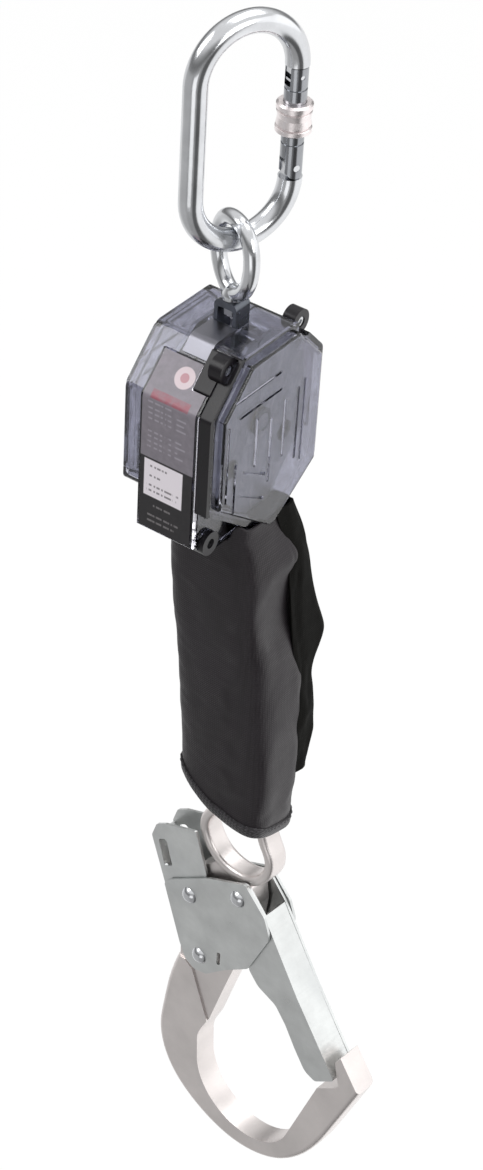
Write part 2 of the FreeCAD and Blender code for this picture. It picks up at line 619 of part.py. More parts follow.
WEB_WIDE, WEB_THICK = dim("web_wide"), dim("web_thick")
drum()
cylinder("drum_shaft", "Dims.shaft_rad", "38.6",
         Placement(Vector(-20.2, 0, 0), Rotation(Y_AXIS, 90)))
feature("webbing_coil", tube(dim("coil_rad"), HUB + .02, WEB_WIDE, -WEB_WIDE / 2, 0, 0))
feature("shaft_bushings", Part.makeCompound([
    tube(6.0, SHAFT + .05, PLATE_T + .4, x - .2, 0, 0) for x in (PLATE_L, PLATE_R)]))
circlip = tube(6.4, SHAFT + .01, .9, PLATE_R + PLATE_T + .5, 0, 0)
feature("shaft_circlip", circlip.cut(box(10, 30, -1.5, 1.5, -8, 0)))


def ratchet_ring():
    """Ring with ramped teeth on its inside."""
    root, tip = dim("ratchet_root"), dim("ratchet_tip")
    teeth = int(dim("ratchet_teeth"))
    pitch, first, steps = 360.0 / teeth, -13.0, 6
    points = []
    for tooth in range(teeth):
        for step in range(steps + 1):
            part = step / steps
            angle = math.radians(first - pitch * (tooth + part))
            radius = root - (root - tip) * part
            points.append((radius * math.cos(angle), radius * math.sin(angle)))
    left, right = 11.8, 14.4
    ring = rod(dim("ratchet_outer"), right - left, left, 0, 0)
    return ring.cut(prism_yz(points, left, right))


PIVOT = dim("pawl_pivot")


def pawl():
    """Tapered pawl from a pivot at +Y to its tip on the rest circle."""
    length, rest = dim("pawl_len"), dim("pawl_rest")
    drop = math.acos((PIVOT ** 2 + rest ** 2 - length ** 2) / (2 * PIVOT * rest))
    tip_y, tip_z = rest * math.cos(drop), -rest * math.sin(drop)
    reach = math.hypot(tip_y - PIVOT, tip_z)
    normal_y, normal_z = -tip_z / reach, (tip_y - PIVOT) / reach
    hull = [(y + normal_y * half, z + normal_z * half)
            for y, z, half in ((PIVOT, 0, 3.1), (tip_y, tip_z, 1.15),
                               (tip_y, tip_z, -1.15), (PIVOT, 0, -3.1))]
    left, right = 11.9, 14.1
    shape = prism_yz(hull, left, right).fuse(rod(3.2, right - left, left, PIVOT, 0))
    shape = shape.fuse(rod(1.2, right - left, left, tip_y, tip_z)).removeSplitter()
    return shape.cut(rod(1.55, 5, 10, PIVOT, 0))


feature("ratchet_ring", ratchet_ring())
for name, turn in (("pawl_a", 0), ("pawl_b", 180)):
    feature(name, pawl(), Placement(ORIGIN, Rotation(X_AXIS, turn)))
feature("pawl_pins", Part.makeCompound([rod(1.5, 3.3, DRUM_OUT, y, 0)
                                        for y in (PIVOT, -PIVOT)]))
pawl_spring = coil_spring(1.0, .22, .9, 3.9, Vector(12.9, 12.4, -6.5), Y_AXIS)
opposite_spring = pawl_spring.copy()
opposite_spring.rotate(ORIGIN, X_AXIS, 180)
feature("pawl_springs", Part.makeCompound([pawl_spring, opposite_spring]))


def power_spring():
    """Flat spiral strip of eight turns, standing along X."""
    turns, per_turn, strip_thick, strip_wide = 8, 16, .5, 4.8
    start, end = 6.4, 24.2
    inner, outer = [], []
    for k in range(turns * per_turn + 1):
        angle = 2 * math.pi * k / per_turn
        radius = start + (end - start) * k / (turns * per_turn)
        for side, r in ((inner, radius), (outer, radius + strip_thick)):
            side.append((0, r * math.cos(angle), r * math.sin(angle)))
    far_end = Part.LineSegment(Vector(*inner[-1]), Vector(*outer[-1])).toShape()
    near_end = Part.LineSegment(Vector(*outer[0]), Vector(*inner[0])).toShape()
    wire = Part.Wire([spline(inner), far_end, spline(outer), near_end])
    return Part.Face(wire).extrude(Vector(strip_wide, 0, 0))


feature("spring_arbor", tube(5.4, SHAFT + .01, 5.2, -20.1, 0, 0))
feature("power_spring", power_spring(), Placement(Vector(-19.8, 0, 0), Rotation()))
cup = rod(26.2, 6.8, -20.4, 0, 0).cut(rod(25.2, 5.6, -20.4, 0, 0))
feature("spring_cup", cup.cut(rod(6.6, 10, -21, 0, 0)))

# ================================================================= webbing exit
ROLLER = dim("roller_rad")
for name, y in (("guide_roller_front", -ROLLER_Y), ("guide_roller_rear", ROLLER_Y)):
    feature(name, tube(ROLLER, 1.55, 19.6, -9.8, y, ROLLER_Z))
feature("roller_pins", Part.makeCompound([
    rod(1.5, PLATE_R + PLATE_T - PLATE_L, PLATE_L, y, ROLLER_Z)
    for y in (-ROLLER_Y, ROLLER_Y)]))

nozzle = new_body("exit_nozzle")
block = rectangle(NOZZLE_HALF, NOZZLE_DEEP, 2)
pad(nozzle, sketch(nozzle, "block", "XY_Plane", [block], "Dims.nozzle_low"),
    "Dims.nozzle_top - Dims.nozzle_low")
slot = rectangle(9.7, 1.7, 1.2)
pocket(nozzle, sketch(nozzle, "slot", "XY_Plane", [slot], "Dims.nozzle_top + 1"), "20")

# strap over the upper front corner of the case
feature("guard_strap", prism_yz([(-5.3, 43.03), (-5.3, 44.63), (-19.68, 44.63, 5),
                                 (-25.6, 38.43), (-24.45, 37.33), (-19.0, 43.05, 4.9)],
                                -6.6, 6.6))

WRAP = ROLLER + WEB_THICK / 2 + .1      # webbing centreline radius round the front roller
LINE_Y = -ROLLER_Y + WRAP


def strip(points, thick):
    """Closed outline lying half a thickness to each side of a centreline."""
    upper, lower = [], []
    for i, (x, y) in enumerate(points):
        before, after = points[max(i - 1, 0)], points[min(i + 1, len(points) - 1)]
        dx, dy = after[0] - before[0], after[1] - before[1]
        length = math.hypot(dx, dy)
        off_x, off_y = -dy / length * thick / 2, dx / length * thick / 2
        upper.append((x + off_x, y + off_y))
        lower.append((x - off_x, y - off_y))
    return upper + lower[::-1]


def webbing_feed():
    """Webbing from the coil, over the front roller and down to the nozzle's end."""
    coil = dim("coil_rad") + WEB_THICK / 2 + .06

    def from_axis(angle):
        """Signed distance from the drum axis to the roller's tangent at angle."""
        return -ROLLER_Y * math.cos(angle) + ROLLER_Z * math.sin(angle) + WRAP

    # roller angle, in 0.03 degree steps, whose tangent also touches the coil
    angle = min((math.radians(20 + k * .03) for k in range(2000)),
                key=lambda a: abs(abs(from_axis(a)) - coil))
    distance = from_axis(angle)
    run = [(distance * math.cos(angle), distance * math.sin(angle))]
    for k in range(7):
        turn = angle * (1 - k / 6.0)
        run.append((-ROLLER_Y + WRAP * math.cos(turn), ROLLER_Z + WRAP * math.sin(turn)))
    run += [(LINE_Y, -48.0), (LINE_Y, -58.1)]
    return prism_yz(strip(run, WEB_THICK), -WEB_WIDE / 2, WEB_WIDE / 2)


feature("webbing_feed", webbing_feed())
feature("webbing_line", box(-WEB_WIDE / 2, WEB_WIDE / 2, LINE_Y - WEB_THICK / 2,
                            LINE_Y + WEB_THICK / 2, -92.0, -58.15))

# ================================================================= absorber pouch
# z, x0, x1, y0, y1
POUCH = [(dim("pouch_top"), -18.4, 26.0, -15.4, 20.2), (-80, -18.0, 30.2, -15.8, 22.4),
         (-108, -15.6, 32.6, -16.0, 24.0), (-139, -12.4, 36.4, -15.6, 24.6),
         (-170, -9.8, 39.2, -15.2, 25.4), (-202, -7.6, 40.6, -14.6, 25.8),
         (-252, -5, 41.0, -13.2, 25.8)]


def pouch_loft(wall, overrun):
    """Loft through the stations, inset by wall and longer by overrun at each end."""
    radius = 9 - wall
    wires = []
    for i, (z, x0, x1, y0, y1) in enumerate(POUCH):
        x0, x1, y0, y1 = x0 + wall, x1 - wall, y0 + wall, y1 - wall
        wire = outline_wire([(x0, y0, radius), (x1, y0, radius),
                             (x1, y1, radius), (x0, y1, radius)])
        shift = {0: overrun, len(POUCH) - 1: -overrun}.get(i, 0)
        wire.translate(Vector(0, 0, z + shift))
        wires.append(wire)
    return Part.makeLoft(wires, True, False)


def pouch_cover():
    """Open tube of fabric with a slanted lower hem."""
    cover = pouch_loft(0, 0).cut(pouch_loft(dim("pouch_wall"), 1))
    corners = ((-60, -60), (90, -60), (90, 90), (-60, 90), (-60, -60))
    hem = [Vector(x, y, -211.5 - .50 * x - .22 * y) for x, y in corners]
    return cover.cut(Part.Face(Part.makePolygon(hem)).extrude(Vector(0, 0, -160)))


feature("pouch_cover", pouch_cover())
FLAP = [(22.7, -72, 1), (29, -84, 4), (40.8, -126, 4), (32.5, -150, 3), (32.6, -166, 4),
        (32.6, -190, 4), (28.6, -206, 1), (26.1, -204, 1), (26.1, -161), (25.2, -131),
        (23.4, -88)]
feature("pouch_flap", prism_yz(FLAP, 14, 34))

# The absorber hangs along local -z, tilted from the vertical towards its bearing.
tilt, bearing = math.radians(6.0), math.radians(30)
hang = Vector(math.sin(tilt) * math.cos(bearing), math.sin(tilt) * math.sin(bearing),
              -math.cos(tilt))
ABSORBER = Placement(Vector(3.2, 1.9, -92.2), Rotation(Vector(0, 0, -1), hang))
LAYERS, LAYER_THICK = 7, 2.5
LAYER = [(-11, -106, 2), (-11, -.6, 2), (11, -.6, 2), (11, -106, 2)]
pack = None
for k in range(LAYERS):
    y = (k - LAYERS / 2) * LAYER_THICK
    layer = prism_xz(LAYER, y, y + LAYER_THICK)
    pack = pack.fuse(layer) if pack else layer
feature("absorber_pack", pack.removeSplitter(), ABSORBER)
feature("absorber_bartacks", Part.makeCompound([
    box(-11.6, 11.6, y0, y0 + 1.4, z - 4, z + 4)
    for z in (-18, -52, -86) for y0 in (-10.2, 8.8)]), ABSORBER)

# ================================================================= hook
# Local frame: x in the hook plane, z up, thickness along y. Outlines are (x, z[, radius]).
HOOK = Placement(Vector(dim("hook_x"), dim("hook_y"), dim("hook_z")),
                 Rotation(Z_AXIS, dim("hook_yaw")))
RIVET = dim("rivet_rad")
LEVER_RIVET, GATE_RIVET, PLATE_RIVET = (-26.2, -47.0), (6.0, -27.0), (-17.3, -83.9)
RIVETS = (LEVER_RIVET, GATE_RIVET, PLATE_RIVET)

# outside of the bowl, from the back of the shank round to the nose
BOWL_OUTSIDE = [(-35.7, -99.0), (-41.1, -118.3), (-45.1, -143.6), (-46.4, -158.0),
                (-43.9, -172.5), (-36.8, -185.8), (-26.0, -195.8), (-13.3, -202.6),
                (0.5, -206.7), (15.0, -207.4), (29.5, -204.0), (42.0, -197.3),
                (52.5, -187.5), (62.1, -174.2), (72.3, -153.1)]
NOSE_TIP = [(72.3, -153.1), (90.5, -107.5), (77.5, -90.2), (74.3, -95.5), (75.9, -103.0),
            (78.2, -111.5), (64.4, -122.6)]
SHANK_INSIDE = [(-18.3, -151.5), (-18.0, -146.0), (-16.2, -140.6), (-12.5, -132.3)]
SHANK_TOP = [(-12.5, -132.3), (-24.7, -102.1), (-30.0, -98.7), (-35.7, -99.0)]
WEB = [(-27, -31, 2), (-34.5, -43.6, 4), (-35.0, -66.3, 6), (-33.9, -98.3), (-38.2, -115.8),
       (-24.0, -147.4), (-17.6, -141.5), (-11.6, -130.5), (-2.8, -100.5), (5.2, -74.5, 5),
       (10.8, -53.7, 6), (13.4, -30.6, 4), (11, -18.0, 2), (-14, -18.0, 2)]
RING_OUTSIDE = [(13.5, 31), (15.5, 22), (18.2, 14.5), (22.0, 7), (22.8, 0), (19.5, -9.5),
                (10.5, -18.2), (-1.5, -21), (-13.5, -18.2), (-22.5, -9.5), (-25.8, 0),
                (-25.0, 7), (-21.2, 14.5), (-18.5, 22), (-16.5, 31)]
RING_INSIDE = [(9.5, 28.4), (10.8, 20), (13.2, 12.5), (16.8, 6), (17.6, 0), (15.3, -6),
               (8.6, -12.9), (-1.5, -15.3), (-11.6, -12.9), (-18.3, -6), (-20.6, 0),
               (-19.8, 6), (-16.2, 12.5), (-13.8, 20), (-12.5, 28.4)]
BAR_RADIUS, BAR_X, BAR_Z = dim("ring_bar"), dim("ring_bar_s"), dim("ring_bar_z")


def rivet_holes(shape, radius, places):
    for x, z in places:
        shape = shape.cut(rod(radius, 40, x, -20, z, Y_AXIS))
    return shape


def tangent_point(point, centre, radius, side):
    """Where a line from point touches the circle; side is 1 or -1."""
    dx, dy = centre[0] - point[0], centre[1] - point[1]
    distance = math.hypot(dx, dy)
    angle = math.atan2(dy, dx) + math.asin(radius / distance) * side
    length = math.sqrt(distance * distance - radius * radius)
    return (point[0] + length * math.cos(angle), point[1] + length * math.sin(angle))


def hook_bowl():
    half = dim("hook_thick") / 2
    centre, radius = (dim("bowl_s"), dim("bowl_z")), dim("bowl_rad")
    shank_end = tangent_point(SHANK_INSIDE[0], centre, radius, -1)
    nose_end = tangent_point(NOSE_TIP[-1], centre, radius, 1)
    low = math.radians(-95)
    bottom = Vector(centre[0] + radius * math.cos(low), centre[1] + radius * math.sin(low), 0)
    edges = [flat_spline(BOWL_OUTSIDE)] + lines(NOSE_TIP + [nose_end])
    edges.append(Part.Arc(Vector(*nose_end, 0), bottom, Vector(*shank_end, 0)).toShape())
    edges += lines([shank_end, SHANK_INSIDE[0]])
    edges.append(flat_spline(SHANK_INSIDE))
    edges += lines(SHANK_TOP)
    bowl = slab_xz(Part.Face(Part.Wire(Part.__sortEdges__(edges))), half, -half)
    # The sorted wire may run either way, which can turn the solid inside out.
    if bowl.Volume < 0:
        bowl.reverse()
    return soften(bowl, 2.6, half, 150)


def hook_ring():
    """Ring with a round bar across its top."""
    half = 6.2
    outer, inner = [
        slab_xz(Part.Face(Part.Wire([flat_spline(side)] + lines([side[-1], side[0]]))),
                depth, -depth)
        for side, depth in ((RING_OUTSIDE, half), (RING_INSIDE, half + 1))]
    ring = soften(outer.cut(inner), 2.2, half, 40)
    ring = ring.cut(box(-12.5, 9.5, -9, 9, 24.0, 45))
    bar_length = 30.0
    return ring.fuse(rod(BAR_RADIUS, bar_length, BAR_X - bar_length / 2, 0, BAR_Z))


def hook_body():
    half_web = dim("web_core") / 2
    hook = hook_bowl().fuse(prism_xz(WEB, -half_web, half_web)).fuse(hook_ring())
    hook = rivet_holes(hook, RIVET, RIVETS)
    # Merging faces is cosmetic; the unmerged body is kept if it fails.
    try:
        hook = hook.removeSplitter()
    except Exception:
        pass
    return hook


def channel(cheek, *backs):
    """Folded channel: two cheeks joined by full-width backs."""
    inside = dim("cheek_in")
    outside = inside + dim("cheek_thick")
    folded = prism_xz(cheek, inside, outside).fuse(prism_xz(cheek, -outside, -inside))
    for back in backs:
        folded = folded.fuse(prism_xz(back, -outside, outside))
    return folded.removeSplitter()


GATE_CHEEK = [(-3.4, -26.7, 4), (0.5, -21.0, 3), (10.3, -14.7, 4), (22.8, -27.9, 8),
              (47.6, -67.1), (76.1, -106.7, 2), (64.0, -116.3, 3), (57.0, -114.2, 8),
              (49.1, -103.2, 10), (42.0, -91.7, 10), (34.5, -82.8, 8), (22.1, -78.3, 8),
              (15.4, -71.3, 5), (14.4, -53.9, 10), (-1.2, -43.7, 10), (-5.2, -36.6, 4)]
GATE_BACK = [(22.8, -28.5), (47.6, -67.1), (75.6, -106.6, 1), (74.0, -107.9, .6),
             (46.2, -68.3), (21.3, -29.7)]
GATE_TIP = [(64.5, -115.5), (75.4, -106.7), (73.4, -103.4), (60.2, -114.0)]
LEVER_CHEEK = [(-35.8, -74.3, 2), (-55.2, -25.1, 3), (-52.3, -16.0, 3), (-46.3, -12.0, 2),
               (-25.5, -3.2, 1.5), (-16.9, -26.7, 3), (-15.8, -40.7, 6), (-23.0, -56.3, 6)]
LEVER_BACK = [(-37.4, -70.2), (-54.6, -25.5), (-52.9, -24.4), (-35.8, -69.1)]
LEVER_WINDOW = [(-50.4, -25.1, 1.8), (-45.2, -21.6, 1.8), (-40.1, -37.1, 1.8),
                (-45.5, -40.7, 1.8)]
COVER = [(-31.1, -83.8, 2), (-43.6, -50.2, 2), (-39.6, -45.0, 2), (-13.3, -26.1, 3),
         (10.3, -14.2, 3), (24.2, -27.4, 4), (28.7, -39.1, 8), (15.9, -69.2, 5),
         (0.6, -81.5, 6), (-11.7, -93.3, 5), (-19.6, -95.8, 4), (-26.2, -93.1, 4)]
COVER_SLOT = [(-5.1, -72.8, .8), (-2.8, -71.7, .8), (-2.8, -80.2, .8), (-5.1, -81.4, .8)]

feature("hook_body", hook_body(), HOOK)
gate = channel(GATE_CHEEK, GATE_BACK, GATE_TIP)
feature("hook_gate", rivet_holes(gate, RIVET + .05, [GATE_RIVET]), HOOK)
lever = channel(LEVER_CHEEK, LEVER_BACK).cut(prism_xz(LEVER_WINDOW, -20, 20))
feature("hook_lever", rivet_holes(lever, RIVET + .05, [LEVER_RIVET]), HOOK)

COVER_IN, COVER_THICK = dim("cover_in"), dim("cover_thick")
COVER_OUT = COVER_IN + COVER_THICK
for name, y in (("side_plate_near", -COVER_OUT), ("side_plate_far", COVER_IN)):
    plate = rivet_holes(prism_xz(COVER, y, y + COVER_THICK), RIVET, RIVETS)
    feature(name, plate.cut(prism_xz(COVER_SLOT, y - 1, y + COVER_THICK + 1)), HOOK)


def rivet(x, z):
    """Rivet through both side plates with a domed head at each end."""
    head = dim("rivet_head")
    shape = rod(RIVET, 2 * COVER_OUT, x, -COVER_OUT, z, Y_AXIS)
    for side, y0, y1 in ((-1, -20, -COVER_OUT), (1, COVER_OUT, 20)):
        ball = Part.makeSphere(head * 1.25, Vector(x, side * (COVER_OUT - head * .62), z))
        shape = shape.fuse(ball.common(box(x - 9, x + 9, y0, y1, z - 9, z + 9)))
    return shape.removeSplitter()


for name, place in zip(("lever_rivet", "gate_rivet", "plate_rivet"), RIVETS):
    feature(name, rivet(*place), HOOK)


def bar_loop(inner, outer, top):
    """Band under the ring's top bar with both legs rising to top."""
    half = 8.0
    left, right = BAR_X - half, BAR_X + half
    band = tube(outer, inner, 2 * half, left, 0, BAR_Z)
    band = band.cut(box(-40, 40, -20, 20, BAR_Z, BAR_Z + 40))
    for y0, y1 in ((-outer, -inner), (inner, outer)):
        band = band.fuse(box(left, right, y0, y1, BAR_Z, top))
    return band.removeSplitter()


loop_in = BAR_RADIUS + .25
loop_out = loop_in + 1.5
feature("hook_loop", bar_loop(loop_in, loop_out, 61.4), HOOK)
feature("wear_sleeve", bar_loop(loop_out + .03, loop_out - .3, 44.0)
        if False else bar_loop(loop_out + .03, loop_in + 2.7, 44.0), HOOK)

# ---------------------------------------------------------------- check and write
to_anchor = Placement(Vector(0, 0, -dim("anchor_z")), Rotation())
for node in nodes:
    node.Placement = to_anchor.multiply(node.Placement)
doc.recompute()
bad = [(item.Label, list(item.State)) for item in doc.Objects
       if "Invalid" in item.State or "Error" in item.State]
for node in nodes:
    if node.Shape.isNull() or not node.Shape.isValid():
        bad.append((node.Label, "bad shape"))
    if not node.Shape.Solids:
        bad.append((node.Label, "no solid"))
    if any(solid.Volume <= 0 for solid in node.Shape.Solids):
        bad.append((node.Label, "volume"))
if bad:
    raise RuntimeError("bad shapes: %s" % bad)
for node in nodes:
    node.Shape.exportStep("parts/%s.step" % node.Label)
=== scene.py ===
"""Retractable webbing block with a carabiner on top and, below, a covered absorber pack and a hook.

The webbing drum turns about X; right is +X, the front faces -Y and the webbing leaves
the case downwards. Shapes are given in millimetres from the drum axis, and place()
turns them into metres in the frame.
"""
import bpy
import bmesh
import math
import random
from mathutils import Matrix, Vector, noise


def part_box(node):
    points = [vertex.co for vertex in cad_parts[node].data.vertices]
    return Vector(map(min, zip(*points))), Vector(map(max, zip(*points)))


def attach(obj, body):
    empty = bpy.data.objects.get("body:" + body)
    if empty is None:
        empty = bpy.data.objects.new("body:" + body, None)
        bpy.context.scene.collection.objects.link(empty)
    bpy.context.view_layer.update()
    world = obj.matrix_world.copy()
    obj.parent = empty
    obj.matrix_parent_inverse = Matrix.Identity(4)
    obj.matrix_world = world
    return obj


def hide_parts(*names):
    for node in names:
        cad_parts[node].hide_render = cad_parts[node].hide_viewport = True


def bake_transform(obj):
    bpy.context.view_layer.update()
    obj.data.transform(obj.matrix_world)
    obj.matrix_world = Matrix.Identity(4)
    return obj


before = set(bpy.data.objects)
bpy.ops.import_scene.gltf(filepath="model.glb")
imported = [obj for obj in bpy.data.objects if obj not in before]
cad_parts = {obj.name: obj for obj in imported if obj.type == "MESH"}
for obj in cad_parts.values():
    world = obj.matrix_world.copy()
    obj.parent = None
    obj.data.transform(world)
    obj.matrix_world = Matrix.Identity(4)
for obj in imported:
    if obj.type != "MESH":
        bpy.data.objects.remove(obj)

random.seed(7)
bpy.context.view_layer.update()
scene = bpy.context.scene
MM = 0.001
AXIS_Z = -178.5  # height of the drum axis in the frame (mm)


def place(x, y, z):
    """Point measured from the drum axis (mm), in the frame (m)."""
    return Vector((x * MM, y * MM, (z + AXIS_Z) * MM))


def unit_clamp(value):
    return max(0.0, min(1.0, value))


def shade(color, factor):
    return tuple(min(1, c * factor) for c in color)


# ------------------------------------------------------------------ shader helpers
class Nodes:
    """Shader tree whose methods add a node and return its output."""

    def __init__(self, tree):
        self.tree = tree
        tree.nodes.clear()

    def put(self, socket, value):
        if hasattr(value, "is_output"):
            self.tree.links.new(value, socket)
        else:
            socket.default_value = value

    def add(self, kind, inputs=None, **settings):
        node = self.tree.nodes.new(kind)
        for key, value in settings.items():
            setattr(node, key, value)
        for key, value in (inputs or {}).items():
            self.put(node.inputs[key], value)
        return node

    def calc(self, operation, a, b=0.0):
        return self.add("ShaderNodeMath", {0: a, 1: b}, operation=operation).outputs[0]

    def times(self, a, b):
        return self.calc("MULTIPLY", a, b)

    def plus(self, a, b):
        return self.calc("ADD", a, b)

    def remap(self, value, source, to):
        """Carry the span source onto the span to, clamped."""
        inputs = {0: value, 1: source[0], 2: source[1], 3: to[0], 4: to[1]}
        return self.add("ShaderNodeMapRange", inputs).outputs[0]

    def ramp(self, factor, stops):
        """Stops are (position, colour), where a single number is a grey."""
        node = self.add("ShaderNodeValToRGB", {0: factor})
        elements = node.color_ramp.elements
        while len(elements) < len(stops):
            elements.new(0.5)
        for element, (position, color) in zip(elements, stops):
            element.position = position
            element.color = (*(color if isinstance(color, tuple) else (color,) * 3), 1)
        return node.outputs[0]

    def mix(self, factor, *colors):
        a, b = (c if hasattr(c, "is_output") else (*c, 1) for c in colors)
        return self.add("ShaderNodeMix", {0: factor, 6: a, 7: b}, data_type="RGBA").outputs[2]

    def compass(self, x, y):
        """Direction seen from above as 0..1: .25 left, .5 front, .75 right, 0 and 1 back."""
        angle = self.calc("ARCTAN2", x, self.times(y, -1.0))
        return self.remap(angle, (-math.pi, math.pi), to=(0, 1))


class Surface(Nodes):
    """Material with a principled shader, textured in object coordinates."""

    def __init__(self, name):
        self.material = bpy.data.materials.new(name)
        self.material.use_nodes = True
        super().__init__(self.material.node_tree)
        self.shader = self.add("ShaderNodeBsdfPrincipled")
        self.add("ShaderNodeOutputMaterial", {0: self.shader.outputs[0]})
        self.position = self.add("ShaderNodeTexCoord").outputs["Object"]

    def principled(self, **inputs):
        """Fill the shader's inputs (underscores stand for spaces) and return the material."""
        for key, value in inputs.items():
            self.put(self.shader.inputs[key.replace("_", " ")], value)
        return self.material

    def coords(self, scale=(1, 1, 1), rot=(0, 0, 0), loc=(0, 0, 0)):
        inputs = {"Scale": scale, "Rotation": rot, "Location": loc, "Vector": self.position}
        return self.add("ShaderNodeMapping", inputs).outputs[0]

    def noise(self, scale, detail=4, rough=.55, vec=None, dist=0.0):
        inputs = {"Scale": scale, "Detail": detail, "Roughness": rough, "Distortion": dist,
                  "Vector": self.coords() if vec is None else vec}
        return self.add("ShaderNodeTexNoise", inputs).outputs[0]

    def wave(self, scale, vec, direction="X", dist=0.0, kind="BANDS"):
        inputs = {"Scale": scale, "Distortion": dist, "Detail": 0, "Vector": vec}
        settings = {"wave_type": kind, kind.lower() + "_direction": direction}
        return self.add("ShaderNodeTexWave", inputs, **settings).outputs["Fac"]

    def bump(self, height, strength, dist):
        inputs = {"Strength": strength, "Distance": dist, "Height": height}
        return self.add("ShaderNodeBump", inputs).outputs[0]


# ------------------------------------------------------------------ materials
def metal(name, base, rough, var=.08, bump=.12, grain=None, tint=None, scale=60, fine=900):
    """Mottled metal; grain stretches its brushed lines, tint colours its patches."""
    m = Surface(name)
    mottle = m.noise(scale, detail=5, rough=.6)
    relief = m.noise(fine, detail=3, rough=.6)
    color = m.ramp(mottle, [(.3, shade(base, .86)), (.7, shade(base, 1.06))])
    if tint:
        patches = m.noise(scale * .35, detail=3, rough=.5, dist=.4)
        color = m.mix(m.remap(patches, (.5, .75), to=(0, .35)), color, tint)
    roughness = m.remap(mottle, (.25, .75), to=(max(.02, rough - var), rough + var))
    if grain:
        lines = m.noise(scale=40, detail=2, rough=.5, vec=m.coords(grain))
        roughness = m.plus(roughness, m.remap(lines, (.35, .65), to=(-.05, .05)))
        relief = m.plus(relief, lines)
    return m.principled(Base_Color=color, Metallic=1.0, Roughness=roughness,
                        Normal=m.bump(relief, strength=bump, dist=.0002))


def plastic(name, base, rough, coat, bump, spec=.5):
    m = Surface(name)
    mottle = m.noise(scale=36)
    relief = m.noise(scale=1680, detail=2)
    return m.principled(
        Base_Color=m.ramp(mottle, [(.3, shade(base, .8)), (.7, shade(base, 1.25))]),
        Coat_Weight=coat, Coat_Roughness=.15, Specular_IOR_Level=spec,
        Roughness=m.remap(mottle, (.3, .7), to=(rough - .06, rough + .08)),
        Normal=m.bump(relief, strength=bump, dist=.0002))


def fabric(name, base, rough, sheen, pitch, bump=.5, worn=None, spec=.35):
    """Woven cloth: crossed sets of yarns at a pitch in mm, paler (worn) in patches."""
    m = Surface(name)
    vec = m.coords()
    lengthwise, across_x, across_y = (
        m.wave(1 / (pitch * MM) * .31, vec, direction, dist=.6) for direction in "ZXY")
    yarns = m.times(m.plus(across_x, across_y), lengthwise)
    fuzz = m.noise(scale=1500, detail=3, rough=.7)
    wear = m.noise(scale=28, detail=5, rough=.65)
    worn = worn or tuple(min(1, c * 1.7 + .004) for c in base)
    weave = m.ramp(yarns, [(.15, shade(base, .62)), (.9, base)])
    relief = m.plus(m.times(yarns, .7), m.times(fuzz, .35))
    return m.principled(
        Base_Color=m.mix(m.remap(wear, (.42, .72), to=(0, .55)), weave, worn),
        Sheen_Weight=sheen, Sheen_Roughness=.4, Specular_IOR_Level=spec,
        Roughness=m.remap(wear, (.3, .7), to=(rough - .1, rough + .08)),
        Normal=m.bump(relief, strength=bump, dist=.0003))


def webbing(name, base):
    """Narrow woven tape: ribs with a herringbone across them."""
    m = Surface(name)
    ribs = m.wave(scale=175, vec=m.coords(), dist=.15)
    zig, zag = (
        m.wave(scale=230, vec=m.coords(rot=(0, math.radians(turn), 0)), direction="Z", dist=.3)
        for turn in (35, -35))
    fuzz = m.noise(scale=1800, detail=3, rough=.7)
    weave = m.plus(m.times(ribs, .6), m.times(m.plus(zig, zag), .35))
    relief = m.plus(weave, m.times(fuzz, .3))
    return m.principled(
        Base_Color=m.ramp(weave, [(.25, shade(base, .45)), (.8, base), (1.0, shade(base, 1.5))]),
        Sheen_Weight=.3, Specular_IOR_Level=.3,
        Roughness=m.remap(fuzz, (.3, .7), to=(.6, .85)),
        Normal=m.bump(relief, strength=.7, dist=.0003))


def smoked(name, tint, mottle=0.0):
    """Smoked polycarbonate with moulding flow and fine scuffs; mottle adds a pebbled pattern."""
    m = Surface(name)
    flow = m.noise(scale=22, detail=3, rough=.5, vec=m.coords((1, 1, .4)), dist=.5)
    scuffs = m.noise(scale=420, detail=6, rough=.7, vec=m.coords((1, .25, .25)))
    color = m.ramp(flow, [(.3, shade(tint, .93)), (.75, shade(tint, 1.05))])
    relief = m.plus(flow, m.times(scuffs, .1))
    if mottle:
        pebbles = m.noise(scale=150, detail=5, rough=.68, vec=m.coords((1, 1, .55)), dist=1.1)
        color = m.mix(m.remap(pebbles, (.44, .60), to=(mottle, 0.0)), color, shade(tint, .62))
        relief = m.plus(relief, m.times(pebbles, .55))
    return m.principled(
        Base_Color=color, Transmission_Weight=1.0, IOR=1.49,
        Roughness=m.plus(m.remap(scuffs, (.5, .8), to=(.06, .18)), 0.0),
        Normal=m.bump(relief, strength=.16 if mottle else .10, dist=.0007))


def coil_material():
    """Wound tape: fine rings on the two faces, woven ribs round the outside."""
    m = Surface("wound_webbing")
    ribs = m.wave(scale=175, vec=m.coords(), dist=.1)
    about_axis = m.coords(loc=(0, 0, -AXIS_Z * MM))
    rings = m.wave(scale=120, vec=about_axis, kind="RINGS", dist=.25)
    fuzz = m.noise(scale=1500, detail=3, rough=.7)
    weave = m.plus(m.times(rings, .8), m.times(ribs, .2))
    relief = m.plus(weave, m.times(fuzz, .2))
    return m.principled(
        Base_Color=m.ramp(weave, [(.1, (.03, .03, .034)), (.8, (.20, .20, .22))]),
        Sheen_Weight=.3,
        Roughness=m.remap(fuzz, (.3, .7), to=(.6, .85)),
        Normal=m.bump(relief, strength=.7, dist=.0004))


